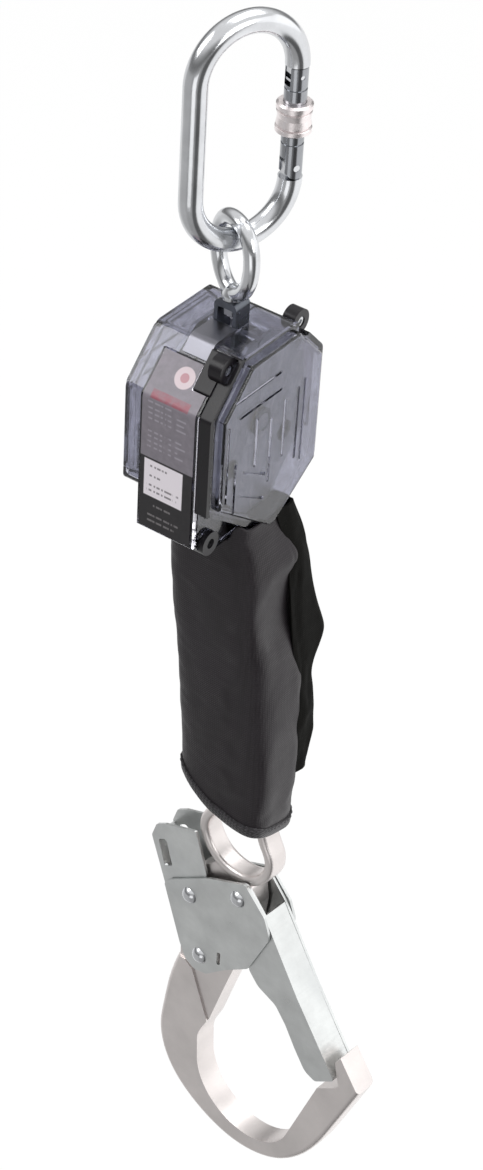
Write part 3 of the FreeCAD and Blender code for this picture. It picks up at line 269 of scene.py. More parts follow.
# printed rules on the label: centre height, left end, right end (mm)
FIELD_RULES = ((20.5, -10.5, 4.5), (17.4, -10.5, 10.5), (14.8, -10.5, 9.0), (12.0, -10.5, 11.0),
               (5.5, -10.5, 8.0), (2.9, -10.5, 10.0), (.1, -10.5, 6.0), (-2.5, -10.5, 9.0))
PANEL_RULES = ((-12.5, -9.6, 1.0), (-17.6, -9.6, -2.0), (-22.6, -9.6, 7.5), (-25.4, -9.6, 6.5))
FOOT_RULES = ((-33.0, -6, 4), (-38.5, -9, 8), (-41.5, -9, 6))


def label_material():
    """Grey field with a round mark, red bar and pale rules; black foot with a white panel."""
    m = Surface("printed_label")
    x, _, frame_z = m.add("ShaderNodeSeparateXYZ", {0: m.position}).outputs
    z = m.plus(frame_z, -AXIS_Z * MM)
    soft = .0002  # half width of a printed edge (m)

    def band(value, low, high):
        rise = m.remap(value, (low - soft, low + soft), to=(0, 1))
        fall = m.remap(value, (high - soft, high + soft), to=(1, 0))
        return m.times(rise, fall)

    def rect(left, right, bottom, top):
        return m.times(band(x, left * MM, right * MM), band(z, bottom * MM, top * MM))

    def print_rules(color, rules, half_height, dash_scale, dash_edge, strength, ink):
        for height, left, right in rules:
            spots = m.noise(dash_scale, detail=1, rough=.5, vec=m.coords((1, 1, .02)))
            dashes = m.remap(spots, dash_edge, to=(0, 1))
            rule = m.times(rect(left, right, height - half_height, height + half_height), dashes)
            color = m.mix(m.times(rule, strength), color, ink)
        return color

    grain = m.noise(scale=300)
    field = m.ramp(grain, [(.3, (.18, .165, .19)), (.7, (.225, .205, .235))])
    foot_mask = m.calc("MAXIMUM", m.remap(z, (-.0086, -.0082), to=(1, 0)), 0.0)
    foot = m.ramp(grain, [(.3, (.012, .011, .013)), (.7, (.02, .018, .02))])
    color = m.mix(foot_mask, field, foot)
    color = print_rules(color, FIELD_RULES, half_height=.45, dash_scale=700,
                        dash_edge=(.42, .5), strength=.55, ink=(.40, .38, .43))
    # round mark, flattened in height: a pale disc with a red centre
    off_x = m.calc("SUBTRACT", x, 1.6 * MM)
    off_z = m.times(m.calc("SUBTRACT", z, 32.2 * MM), 1.0)
    flatten = 1.35
    squares = m.plus(m.times(off_x, off_x),
                     m.times(m.times(off_z, flatten), m.times(off_z, flatten)))
    radius = m.calc("SQRT", squares)
    disc = m.remap(radius, (4.7 * MM, 5.1 * MM), to=(1, 0))
    centre = m.remap(radius, (2.0 * MM, 2.3 * MM), to=(1, 0))
    color = m.mix(m.times(disc, .8), color, (.66, .55, .58))
    color = m.mix(m.times(centre, .8), color, (.40, .17, .20))
    bar = rect(left=-9.6, right=10.2, bottom=22.3, top=25.6)
    blots = m.remap(m.noise(scale=260, detail=2, rough=.5), (.35, .55), to=(.55, 1))
    color = m.mix(m.times(m.times(bar, blots), .75), color, (.30, .060, .085))
    panel = rect(left=-11.2, right=9.4, bottom=-28.6, top=-9.4)
    color = m.mix(panel, color, (.80, .75, .80))
    for rules, strength, ink in ((PANEL_RULES, .8, (.09, .08, .09)),
                                 (FOOT_RULES, .5, (.30, .28, .29))):
        color = print_rules(color, rules, half_height=.5, dash_scale=900,
                            dash_edge=(.4, .48), strength=strength, ink=ink)
    return m.principled(
        Base_Color=color, Coat_Weight=.15, Coat_Roughness=.2, Specular_IOR_Level=.3,
        Roughness=m.remap(grain, (.3, .7), to=(.30, .42)),
        Normal=m.bump(grain, strength=.08, dist=.0002))


MATERIALS = {
    "zinc": metal("bright_zinc", (.66, .67, .69), rough=.17, var=.05, bump=.05,
                  tint=(.70, .71, .75)),
    "zinc_satin": metal("satin_zinc", (.66, .675, .67), rough=.36, var=.06, bump=.10,
                        grain=(1, 1, 16), tint=(.50, .52, .53)),
    # painted reflection: the gate's dark base colour and darker tint stand in for the dark
    # surroundings its chrome reflects
    "gate_zinc_painted_dark": metal("gate_zinc_painted_dark", (.34, .35, .37), rough=.16, var=.05, bump=.05,
                       tint=(.26, .27, .30)),
    "sleeve": metal("sleeve_zinc", (.86, .80, .80), rough=.30, var=.06, bump=.10,
                    grain=(6, 6, 1)),
    "steel": metal("steel", (.55, .56, .58), rough=.32, var=.06, bump=.08),
    "strap": metal("strap_steel", (.20, .20, .225), rough=.34, bump=.10, tint=(.28, .27, .29)),
    "steel_dark": metal("blued_steel", (.13, .14, .16), rough=.30, bump=.10,
                        tint=(.20, .19, .20)),
    "forged": metal("forged_aluminium", (.76, .715, .70), rough=.38, var=.05, bump=.22,
                    tint=(.70, .65, .64), scale=30, fine=1400),
    "aluminium": metal("turned_aluminium", (.70, .71, .73), rough=.28, var=.05, bump=.1,
                       grain=(30, 1, 1)),
    "brass": metal("brass", (.72, .55, .24), rough=.28),
    "black_gloss": plastic("black_gloss", (.009, .008, .010), rough=.30, coat=.08, bump=.05,
                           spec=.25),
    "black_plastic": plastic("black_plastic", (.022, .022, .025), rough=.5, coat=.1, bump=.2),
    "rubber": plastic("rubber", (.11, .11, .115), rough=.55, coat=.05, bump=.3),
    "clear": smoked("smoked_case", (.562, .566, .65), mottle=.60),
    "clear_panel": smoked("smoked_panel", (.70, .685, .745)),
    "webbing_grey": webbing("webbing_line_weave", (.23, .23, .25)),
    "webbing_black": webbing("webbing_black_weave", (.045, .045, .05)),
    "thread": fabric("bartack_thread", (.42, .05, .04), rough=.7, sheen=.3, pitch=.8),
    "nylon": fabric("nylon_cover", (.0150, .0112, .0142), rough=.50, sheen=.05, pitch=1.1,
                    bump=.28, worn=(.021, .0175, .0215), spec=.34),
    "nylon_dark": fabric("nylon_flap", (.0062, .0060, .0052), rough=.80, sheen=.0, pitch=1.1,
                         bump=.35, worn=(.009, .0088, .0080), spec=.08),
    "binding": webbing("hem_binding", (.020, .018, .021)),
    "thread_dark": fabric("seam_thread", (.055, .050, .056), rough=.7, sheen=.1, pitch=.5,
                          bump=.3),
    "coil": coil_material(),
    "label": label_material(),
}

CAD_PIECES = {
    "zinc": "carabiner_body carabiner_hinge_pin carabiner_latch_pin swivel_eye housing_screws"
            " frame_spacers lever_rivet gate_rivet plate_rivet",
    "gate_zinc_painted_dark": "carabiner_gate",
    "zinc_satin": "side_plate_near side_plate_far hook_gate hook_lever",
    "sleeve": "lock_sleeve",
    "steel": "carabiner_gate_spring swivel_nut load_pin left_frame_plate right_frame_plate"
             " roller_pins drum_shaft pawl_pins pawl_springs spring_arbor guide_roller_front"
             " guide_roller_rear",
    "strap": "guard_strap",
    "steel_dark": "swivel_yoke ratchet_ring power_spring shaft_circlip pawl_a pawl_b",
    "forged": "hook_body",
    "aluminium": "drum",
    "brass": "shaft_bushings",
    "black_gloss": "corner_bosses corner_trim",
    "black_plastic": "spring_cup exit_nozzle",
    "clear": "left_shell right_shell",
    "clear_panel": "label_panel rear_panel",
    "label": "label_sheet",
    "coil": "webbing_coil",
    "webbing_grey": "webbing_feed webbing_line",
    "webbing_black": "absorber_pack hook_loop",
    "thread": "absorber_bartacks",
    "nylon": "pouch_cover pouch_flap wear_sleeve",
}
material_of = {piece: key for key, pieces in CAD_PIECES.items() for piece in pieces.split()}
for name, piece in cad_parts.items():
    piece.data.materials.clear()
    piece.data.materials.append(MATERIALS[material_of[name]])


def new_mesh(name, points, faces, material):
    """Smooth mesh from points measured from the drum axis (mm)."""
    mesh = bpy.data.meshes.new(name)
    mesh.from_pydata([tuple(place(*p)) for p in points], [], faces)
    mesh.validate()
    mesh.update()
    mesh.shade_smooth()
    obj = bpy.data.objects.new(name, mesh)
    scene.collection.objects.link(obj)
    mesh.materials.append(MATERIALS[material])
    return obj


def curve_table(table, key):
    """Smooth curve through rows (key, values...) sorted from high key to low key."""
    if key >= table[0][0]:
        return table[0][1:]
    if key <= table[-1][0]:
        return table[-1][1:]
    i = next(i for i in range(len(table) - 1) if table[i + 1][0] <= key <= table[i][0])
    row, following = table[i], table[i + 1]
    before = table[max(i - 1, 0)]
    after = table[min(i + 2, len(table) - 1)]
    step = following[0] - row[0]
    t = (key - row[0]) / step
    t2, t3 = t * t, t * t * t
    values = []
    for k in range(1, len(row)):
        slope_in = (following[k] - before[k]) / (following[0] - before[0]) * step
        slope_out = (after[k] - row[k]) / (after[0] - row[0]) * step
        values.append((2 * t3 - 3 * t2 + 1) * row[k] + (t3 - 2 * t2 + t) * slope_in
                      + (-2 * t3 + 3 * t2) * following[k] + (t3 - t2) * slope_out)
    return tuple(values)


def smooth_noise(point, frequency, seed):
    x, y, z = (q * frequency for q in point)
    return noise.noise(Vector((x + seed, y - seed, z + 2 * seed)))


def drape(cloth, held, pressure, slack, passes):
    """Short cloth run that creases a sheet between its held vertices.

    The movement is capped and evened over neighbours, then added to the mesh.
    """
    frames = 16
    cap = .0009  # greatest movement (m)
    mesh = cloth.data
    rest = [v.co.copy() for v in mesh.vertices]
    group = cloth.vertex_groups.new(name="held")
    for i, weight in held.items():
        group.add([i], weight, "REPLACE")
    modifier = cloth.modifiers.new("drape", "CLOTH")
    settings = modifier.settings
    settings.quality = 5
    settings.mass = .12
    settings.tension_stiffness = 18
    settings.compression_stiffness = 18
    settings.shear_stiffness = 6
    settings.bending_stiffness = .35
    settings.vertex_group_mass = "held"
    settings.shrink_min = -slack
    settings.use_pressure = True
    settings.uniform_pressure_force = pressure
    settings.effector_weights.gravity = 0.0
    modifier.collision_settings.use_collision = False
    modifier.collision_settings.use_self_collision = False
    for f in range(1, frames + 1):
        scene.frame_set(f)
    evaluated = cloth.evaluated_get(bpy.context.evaluated_depsgraph_get())
    draped = [v.co.copy() for v in evaluated.data.vertices]
    cloth.modifiers.remove(modifier)
    scene.frame_set(1)
    moves = []
    for start, end in zip(rest, draped):
        move = end - start
        if any(q != q for q in move):  # the solver can return NaN
            move = Vector((0, 0, 0))
        size = move.length
        moves.append(move * (cap * math.tanh(size / cap) / size) if size > 1e-9 else move)
    neighbours = [[] for _ in rest]
    for edge in mesh.edges:
        a, b = edge.vertices
        neighbours[a].append(b)
        neighbours[b].append(a)
    for _ in range(passes):
        moves = [(move + sum((moves[q] for q in near), Vector()) / max(1, len(near))) / 2
                 for move, near in zip(moves, neighbours)]
    for vertex, start, move in zip(mesh.vertices, rest, moves):
        vertex.co = start + move
    mesh.update()


def finish_cloth(cloth, thickness, replaced):
    smooth = cloth.modifiers.new("smooth", "SUBSURF")
    smooth.levels = smooth.render_levels = 1
    solid = cloth.modifiers.new("cloth_thickness", "SOLIDIFY")
    solid.thickness = thickness
    solid.offset = -1
    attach(cloth, "line")
    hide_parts(replaced)


def ribbon(name, stations, thick, material, seg, body="line", closed=False, blend=None,
           replaced=None):
    """Flat tape with rounded edges; stations are (point, half width, thickness direction)."""
    edge = thick * .45  # how far each edge is rounded
    profile = []
    for side, start in ((1, -.5), (-1, .5)):
        for q in range(seg):
            a = math.pi * (q / (seg - 1) + start)
            profile.append((side, math.cos(a), math.sin(a)))
    points, faces = [], []
    for point, half_width, through in stations:
        width = half_width.length
        across = half_width / width
        for side, c, s in profile:
            offset = across * (side * (width - edge) + c * edge) + through * (s * thick / 2)
            points.append(point + offset)
    around, count = len(profile), len(stations)
    for i in range(count if closed else count - 1):
        row, following = i * around, (i + 1) % count * around
        for k in range(around):
            k1 = (k + 1) % around
            faces.append((row + k, row + k1, following + k1, following + k))
    if not closed:
        faces.append(tuple(range(around))[::-1])
        faces.append(tuple((count - 1) * around + k for k in range(around)))
    tape = new_mesh(name, points, faces, material)
    if blend:
        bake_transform(tape)
    else:
        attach(tape, body)
    if replaced:
        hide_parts(replaced)


STITCH_PROFILE = ((0, .45), (.2, 1), (.8, 1), (1, .45))  # place along a stitch, relative radius
STITCH_SIDES = 6


def stitches(name, points, normals, length, radius, material="thread_dark", gap=.5):
    """Row of short threads lying on a surface; gap is the bare share of each length."""
    spans = []
    total = 0.0
    for a, b, normal in zip(points[:-1], points[1:], normals):
        spans.append((total, (b - a).length, a, b, normal))
        total += (b - a).length

    def locate(distance):
        start, size, a, b, normal = next(
            s for s in spans if distance <= s[0] + s[1] + 1e-9)
        return a.lerp(b, (distance - start) / size), normal

    vertices, faces = [], []
    sides = range(STITCH_SIDES)
    along = 0.0
    while along + length < total:
        head, normal = locate(along)
        tail, _ = locate(along + length * (1 - gap))
        sideways = (tail - head).normalized().cross(normal).normalized()
        first = len(vertices)
        for t, swell in STITCH_PROFILE:
            centre = head.lerp(tail, t) + normal * (radius * .3)
            for h in sides:
                a = h * math.pi / 3
                vertices.append(centre + sideways * (radius * swell * math.cos(a))
                                + normal * (radius * swell * math.sin(a)))
        for r in range(len(STITCH_PROFILE) - 1):
            low = first + r * STITCH_SIDES
            high = low + STITCH_SIDES
            for h in sides:
                h1 = (h + 1) % STITCH_SIDES
                faces.append((low + h, low + h1, high + h1, high + h))
        faces.append(tuple(first + h for h in sides)[::-1])
        faces.append(tuple(high + h for h in sides))
        along += length
    thread = new_mesh(name, vertices, faces, material)
    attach(thread, "line")
    return thread


# ------------------------------------------------------------------ absorber cover
# outline by height: z, left x, right x, front y, back y (mm)
COVER_OUTLINE = [
    (-46, -20.6, 23.0, -15.0, 18.5), (-56, -20.4, 24.6, -15.4, 19.6),
    (-66, -20.0, 27.4, -15.6, 20.8), (-80, -19.2, 30.4, -15.8, 22.4),
    (-108, -16.6, 32.8, -16.0, 24.0), (-139, -13.3, 36.6, -15.6, 24.0),
    (-170, -10.6, 39.4, -15.2, 24.4), (-202, -8.4, 40.9, -14.6, 24.6),
    (-222, -7.0, 40.2, -14.0, 24.2), (-240, -5.8, 38.3, -13.4, 23.4),
    (-260, -4.8, 37.2, -12.8, 22.8)]
# hem height by x, and what y adds to it towards the right: x or y, height (mm)
HEM_BY_X = [(60, -229.5), (39, -228.0), (28, -226.4), (20, -224.6), (12, -221.4), (3, -214.5),
            (-6.3, -206.5), (-20, -203.0)]
HEM_BY_Y = [(30, -9.0), (24, -10.0), (17, -11.5), (8, -9.0), (-2, -5.0), (-11, -.5), (-20, 0.0)]
# soft folds on the right side: bulge, height, spread (mm)
COVER_FOLDS = ((3.6, -76, 10.0), (-1.8, -108, 15.0), (2.2, -152, 17.0))
CORNER_POWER = 5.6  # superellipse exponent: how square the cover's corners are
COVER_AROUND, COVER_ROWS = 84, 92
COVER_SEAMS = (("a", 49), ("b", 11))  # columns near the left front and right back corners


def hem_z(x, y):
    """Height of the slanting bottom hem."""
    return curve_table(HEM_BY_X, x)[0] + curve_table(HEM_BY_Y, y)[0] * unit_clamp((x + 8) / 46.0)


def top_z(x, y):
    """The rim tucks up under the sloping bottom of the case and passes beside its square foot."""
    if y < 1.5:
        z = -28 - (y + 40) * .759
    else:
        z = -60.3 + (max(y, 8) - 8) * .697
    beside = unit_clamp((abs(x) - 17.0) / 3.0)
    beside = beside * beside * (3 - 2 * beside)
    if y < 13:
        z = min(z, -56.0) * (1 - beside) + max(z, -50.0) * beside
    return z - 1.6


def cover_xy(z, angle):
    left, right, front, back = curve_table(COVER_OUTLINE, z)
    c, s = math.cos(angle), math.sin(angle)
    reach = 1.0 / ((abs(c) ** CORNER_POWER + abs(s) ** CORNER_POWER) ** (1 / CORNER_POWER))
    x = (left + right) / 2 + (right - left) / 2 * c * reach
    y = (front + back) / 2 + (back - front) / 2 * s * reach
    if c > 0:
        # the folds fade in towards the back
        share = unit_clamp((y + 6) / 20.0) * unit_clamp(c * 1.6)
        x += share * sum(bulge * math.exp(-((z - height) / spread) ** 2)
                         for bulge, height, spread in COVER_FOLDS)
    return x, y


def build_cover():
    points, faces, held = [], [], {}
    for j in range(COVER_ROWS + 1):
        for k in range(COVER_AROUND):
            angle = 2 * math.pi * (k + .5) / COVER_AROUND
            # rows open out evenly from the sloping rim to the sloping hem
            top = top_z(*cover_xy(-60, angle))
            hem = hem_z(*cover_xy(-226, angle))
            z = top + (hem - top) * (j / COVER_ROWS)
            x, y = cover_xy(z, angle)
            swell = (.9 * smooth_noise((x, y, z * .4), frequency=.04, seed=3.1)
                     + .25 * smooth_noise((x, y, z * .6), frequency=.10, seed=8.7))
            heading = math.atan2(y - 7, x - 12)
            x, y = x + swell * math.cos(heading), y + swell * math.sin(heading)
            weight = max(0.0, 1 - j / 3.0, 1 - (COVER_ROWS - j) / 3.0)
            # the front panel is stiffened and stays almost flat
            if y < -9 and -8 < x < 20:
                weight = max(weight, .25)
            if weight > 0:
                held[len(points)] = weight
            points.append((x, y, z))
    for j in range(COVER_ROWS):
        for k in range(COVER_AROUND):
            a = j * COVER_AROUND + k
            b = j * COVER_AROUND + (k + 1) % COVER_AROUND
            faces.append((a, a + COVER_AROUND, b + COVER_AROUND, b))
    cover = new_mesh("absorber_cover", points, faces, "nylon")
    drape(cover, held, pressure=3.0, slack=.02, passes=3)
    finish_cloth(cover, thickness=.0012, replaced="pouch_cover")
    return cover


cover = build_cover()


def cover_point(row, column):
    """Settled cover vertex, measured from the drum axis (mm)."""
    vertex = cover.data.vertices[row * COVER_AROUND + column % COVER_AROUND]
    return vertex.co / MM - Vector((0, 0, AXIS_Z))


def face_away(direction, point, centre_x, centre_y):
    """Flip direction if it points towards an upright line at the centre."""
    if direction.dot(Vector((point.x - centre_x, point.y - centre_y, 0))) < 0:
        direction.negate()


def build_hem():
    """Folded tape sewn round the slanting edge, with its stitching."""
    steps = 2 * COVER_AROUND
    stations = []
    for k in range(steps):
        column = k * COVER_AROUND / steps
        i, t = int(column), column - int(column)
        edge, edge_next = cover_point(COVER_ROWS, i), cover_point(COVER_ROWS, i + 1)
        p = edge.lerp(edge_next, t)
        above = cover_point(COVER_ROWS - 3, i).lerp(cover_point(COVER_ROWS - 3, i + 1), t)
        up = (above - p).normalized()
        outward = (edge_next - edge).normalized().cross(up)
        face_away(outward, p, centre_x=15, centre_y=8)
        stations.append((p + up * 2.6 + outward * .35, up * 3.1, outward))
    ribbon("cover_hem_binding", stations, 1.5, "binding", seg=6, closed=True)
    ring = stations + stations[:1]
    stitches("hem_stitching", [p + half * .62 + outward * .78 for p, half, outward in ring],
             [outward for _, _, outward in ring], length=3.0, radius=.28)


def build_cover_seam(tag, column):
    points, normals = [], []
    for j in range(3, COVER_ROWS - 4, 2):
        p = cover_point(j, column)
        down = cover_point(j + 2, column) - p
        normal = (cover_point(j, column + 1) - p).cross(down).normalized()
        face_away(normal, p, centre_x=12, centre_y=7)
        points.append(p + normal * .12)
        normals.append(normal)
    stitches("cover_seam_" + tag, points, normals, length=3.2, radius=.26)


build_hem()
for tag, column in COVER_SEAMS:
    build_cover_seam(tag, column)

# ------------------------------------------------------------------ cover flap
# outermost back of the flap: z, y (mm)
FLAP_BACK = [(-44, 20.5), (-56, 24.0), (-68, 27.5), (-80, 29.5), (-98, 33.0), (-115, 37.5),
             (-126, 40.8), (-131, 41.5), (-137, 37.5), (-144, 31.5), (-150, 29.8),
             (-158, 31.0), (-172, 32.2), (-185, 32.0), (-195, 29.5), (-206, 26.5)]
FLAP_TOP, FLAP_BOTTOM = -51.0, -205.0
FLAP_COLUMNS, FLAP_ROWS = 46, 80


def flap_point(u, t):
    """Point at share u of the way from the right side round the back, share t down."""
    top = FLAP_TOP - 3.0 * unit_clamp((u - .38) / .12)
    z = top + (FLAP_BOTTOM - top) * t
    _, right, _, back = curve_table(COVER_OUTLINE, z)
    y = max(curve_table(FLAP_BACK, z)[0], back + 1.4)
    x = min(right + .4, 39.8)
    path = [Vector(p) for p in ((x - 1.0, back - 10), (x + .9, back - 3), (x + .4, y - 3),
                                (x - 2.4, y), (x - 10, y + .3), (6, y - 1.2))]
    walked = [0]
    for a, b in zip(path[:-1], path[1:]):
        walked.append(walked[-1] + (b - a).length)
    distance = walked[-1] * u
    i = max(q for q in range(len(path) - 1) if walked[q] <= distance + 1e-9)
    p = path[i].lerp(path[i + 1], (distance - walked[i]) / (walked[i + 1] - walked[i]))
    wobble = .45 * smooth_noise((p.x, p.y, z * .5), frequency=.06, seed=5.0)
    return (p.x + wobble * .4, p.y + wobble, z)


def build_flap():
    """Loose sheet wrapping from the right side round the back."""
    stride = FLAP_COLUMNS + 1
    points = [flap_point(k / FLAP_COLUMNS, j / FLAP_ROWS)
              for j in range(FLAP_ROWS + 1) for k in range(stride)]
    for _ in range(3):
        evened = list(points)
        for j in range(1, FLAP_ROWS):
            for k in range(1, FLAP_COLUMNS):
                q = j * stride + k
                near = [points[n] for n in (q - 1, q + 1, q - stride, q + stride)]
                evened[q] = tuple((points[q][i] + sum(p[i] for p in near) / 4) / 2
                                  for i in range(3))
        points = evened
    faces = []
    for j in range(FLAP_ROWS):
        for k in range(FLAP_COLUMNS):
            a = j * stride + k
            faces.append((a, a + 1, a + stride + 1, a + stride))
    flap = new_mesh("cover_flap", points, faces, "nylon_dark")
    # top and both sides are held, the bottom edge half held
    held = {}
    for j in range(FLAP_ROWS + 1):
        for k in range(stride):
            if k < 2 or j < 2 or k == FLAP_COLUMNS:
                held[j * stride + k] = 1.0
            elif j == FLAP_ROWS:
                held[j * stride + k] = .5
    drape(flap, held, pressure=.4, slack=.03, passes=2)
    finish_cloth(flap, thickness=.0010, replaced="pouch_flap")


build_flap()

# ------------------------------------------------------------------ grey webbing
TAPE_THICK = 1.3
TAPE_HALF = Vector((9.0, 0, 0))
BACKWARD = Vector((0, 1, 0))


def build_line():
    """Webbing between the case and the absorber."""
    low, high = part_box("webbing_line")
    x = (low.x + high.x) / 2 / MM
    y = (low.y + high.y) / 2 / MM
    top, bottom = high.z / MM - AXIS_Z, low.z / MM - AXIS_Z
    stations = [(Vector((x, y, top - .1 + (bottom - 1.4 - top) * i / 40)), TAPE_HALF, BACKWARD)
                for i in range(41)]
    ribbon("webbing_tape", stations, TAPE_THICK, "webbing_grey", seg=6,
           blend=("case", "line", place(x, y, top - 1), place(x, y, bottom + 2)),
           replaced="webbing_line")


def build_coil():
    """Stored tape: one long strip wound on the hub."""
    turns, inner, outer = 12, 12.9, 28.75
    steps = turns * 40
    stations = []
    for i in range(steps + 1):
        a = 2 * math.pi * turns * i / steps
        r = inner + (outer - inner) * i / steps + .05 * math.sin(a * 2.3)
        stations.append((Vector((.10 * math.sin(a * .37), r * math.cos(a), r * math.sin(a))),
                         Vector((8.95, 0, 0)), Vector((0, math.cos(a), math.sin(a)))))
    ribbon("wound_tape", stations, 1.12, "webbing_grey", seg=4, body="drum",
           replaced="webbing_coil")


def build_feed():
    """Tape inside the case: from the coil over the front roller and down to the nozzle."""
    wrap = math.radians(47.24)
    coil_radius = 30.21
    bend_radius, roller_z = 4.25, -43
    stations = []

    def on_roller(a):
        return Vector((0, -bend_radius + bend_radius * math.cos(a),
                       roller_z + bend_radius * math.sin(a)))

    def add_station(point, a):
        stations.append((point, TAPE_HALF, Vector((0, math.cos(a), math.sin(a)))))

    leave = Vector((0, -coil_radius * math.cos(wrap), -coil_radius * math.sin(wrap)))
    for i in range(12):
        add_station(leave.lerp(on_roller(wrap), i / 12), wrap)
    for i in range(9):
        a = wrap * (1 - i / 8)
        add_station(on_roller(a), a)
    for z in (-45, -48, -51, -54, -56, -58.1):
        add_station(Vector((0, 0, z)), 0)
    ribbon("tape_feed", stations, TAPE_THICK, "webbing_grey", seg=6, body="case",
           replaced="webbing_feed")


build_line()
build_coil()
build_feed()

# ------------------------------------------------------------------ absorber pack
PACK_TILT, PACK_HEADING = math.radians(6.0), math.radians(30)
PACK_ORIGIN = Vector((3.2, 1.9, -92.2))
PACK_UP = -Vector((math.sin(PACK_TILT) * math.cos(PACK_HEADING),
                   math.sin(PACK_TILT) * math.sin(PACK_HEADING), -math.cos(PACK_TILT)))
PACK_RIGHT = (Vector((1, 0, 0)) - PACK_UP * PACK_UP.x).normalized()
PACK_BACK = PACK_UP.cross(PACK_RIGHT)
PACK_TOP, PACK_BOTTOM = -2.0, -104.6
PACK_LAYERS, LAYER_PITCH = 7, 2.5


def pack_point(x, y, z):
    return PACK_ORIGIN + PACK_RIGHT * x + PACK_BACK * y + PACK_UP * z


def build_folds():
    """Tape laid back and forth, front layer first."""
    half_width = PACK_RIGHT * 10.9
    turn = LAYER_PITCH / 2
    stations = []
    for k in range(PACK_LAYERS):
        y = LAYER_PITCH * (k - (PACK_LAYERS - 1) / 2)
        start, end = (PACK_TOP, PACK_BOTTOM) if k % 2 == 0 else (PACK_BOTTOM, PACK_TOP)
        for i in range(15):
            z = start + (end - start) * i / 14
            point = pack_point(0, y + .25 * math.sin(z * .21 + k), z)
            stations.append((point, half_width, PACK_BACK))
        if k < PACK_LAYERS - 1:
            side = -1 if k % 2 == 0 else 1
            for i in range(1, 6):
                a = math.pi * i / 6
                point = pack_point(0, y + turn - turn * math.cos(a),
                                   end + side * turn * math.sin(a))
                through = PACK_BACK * math.cos(a) + PACK_UP * math.sin(a) * side
                stations.append((point, half_width, through.normalized()))
    ribbon("absorber_folds", stations, 2.1, "webbing_black", seg=5, replaced="absorber_pack")


def build_bartacks(tag, side):
    """Three zigzag rows across one face of the pack, run on as a single thread."""
    points = [pack_point(-9.5 + 19.0 * i / 26, side * 9.05, z + (3.4 if i % 2 else -3.4))
              for z in (-18, -52, -86) for i in range(27)]
    return stitches("bartack_thread_" + tag, points, [PACK_BACK * side] * len(points),
                    length=2.4, radius=.42, material="thread", gap=.12)


build_folds()
front_bartacks = build_bartacks("front", -1)
build_bartacks("back", 1)
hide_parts("absorber_bartacks")

# ------------------------------------------------------------------ hook sling
SLING_YAW = math.radians(-6.6)
SLING_RIGHT = Vector((math.cos(SLING_YAW), math.sin(SLING_YAW), 0))
SLING_BACK = Vector((-math.sin(SLING_YAW), math.cos(SLING_YAW), 0))
# centre of the sling's bottom bend
SLING_CENTRE = Vector((18.56, 10.71, -260.88)) + SLING_RIGHT * -1.5 + Vector((0, 0, 31.0))


def u_band(name, radius, top, thick, material, replaced):
    """Band down the front, round the bottom bend and up the back."""
    half_width = SLING_RIGHT * 8.0
    stations = []

    def add_station(outward, z):
        point = SLING_CENTRE + outward * radius + Vector((0, 0, z))
        stations.append((point, half_width, outward))

    for i in range(13):
        add_station(-SLING_BACK, top - top * i / 12)
    for i in range(1, 16):
        a = math.pi * i / 16
        add_station(SLING_BACK * -math.cos(a) + Vector((0, 0, -math.sin(a))), 0)
    for i in range(13):
        add_station(SLING_BACK, top * i / 12)
    ribbon(name, stations, thick, material, seg=6, replaced=replaced)


u_band("hook_sling", radius=5.5, top=30.2, thick=1.45, material="webbing_black",
       replaced="hook_loop")
u_band("hook_sling_sleeve", radius=6.86, top=12.8, thick=1.1, material="nylon",
       replaced="wear_sleeve")
for face, side in (("f", -1), ("b", 1)):
    for edge, across in (("l", -6.4), ("r", 6.4)):
        points = [SLING_CENTRE + SLING_RIGHT * across + SLING_BACK * (side * 7.45)
                  + Vector((0, 0, z)) for z in range(0, 13, 2)]
        stitches("sling_stitch_" + face + edge, points, [SLING_BACK * side] * len(points),
                 length=2.2, radius=.24)


# ------------------------------------------------------------------ camera, lights, floor, world
def add_camera():
    azimuth, elevation, roll = (math.radians(a) for a in (34.04, 38.08, 3.63))
    distance = 1.19882
    back = Vector((math.sin(azimuth) * math.cos(elevation),
                   -math.cos(azimuth) * math.cos(elevation), math.sin(elevation)))
    level = Vector((math.cos(azimuth), math.sin(azimuth), 0))
    upright = back.cross(level)
    target = level * .01155 + upright * -.07819
    right = level * math.cos(roll) + upright * math.sin(roll)
    up = -level * math.sin(roll) + upright * math.cos(roll)
    camera = bpy.data.objects.new("camera", bpy.data.cameras.new("camera"))
    scene.collection.objects.link(camera)
    camera.data.sensor_fit = "AUTO"
    camera.data.sensor_width = 36
    camera.data.lens = 84.36
    camera.data.clip_start = .01
    camera.data.clip_end = 50
    pose = Matrix((right, up, back)).transposed().to_4x4()
    pose.translation = target + back * distance + Vector((0, 0, AXIS_Z * MM))
    camera.matrix_world = pose
    scene.camera = camera


def add_light(name, at, to, size, power):
    """Square light; at and to are in metres from the drum axis."""
    data = bpy.data.lights.new(name, "AREA")
    data.shape = "SQUARE"
    data.size = size
    data.energy = power
    light = bpy.data.objects.new(name, data)
    scene.collection.objects.link(light)
    light.location = Vector(at) + Vector((0, 0, AXIS_Z * MM))
    light.rotation_euler = (Vector(to) - Vector(at)).to_track_quat("-Z", "Y").to_euler()


# brightness the floor lends the object: compass direction, grey
FLOOR_GLOW = ((0.0, .80), (.25, .72), (.31, .48), (.35, .43), (.46, .42), (.52, .33), (.60, .33),
              (.640, .30), (.655, .10), (.735, .10), (.765, .92), (.85, .95), (1.0, .85))
# sky from straight down (0) to straight up (1): position, grey
SKY = ((0.0, .9), (.42, .85), (.50, .32), (.58, .20), (.68, .42), (.80, .95), (1.0, 1.0))
# bright panel from the right round towards the back: compass direction, grey
SIDE_PANEL = ((0.0, 0.0), (.755, 0.0), (.775, 1.0), (.93, 1.0), (.96, 0.0), (1.0, 0.0))


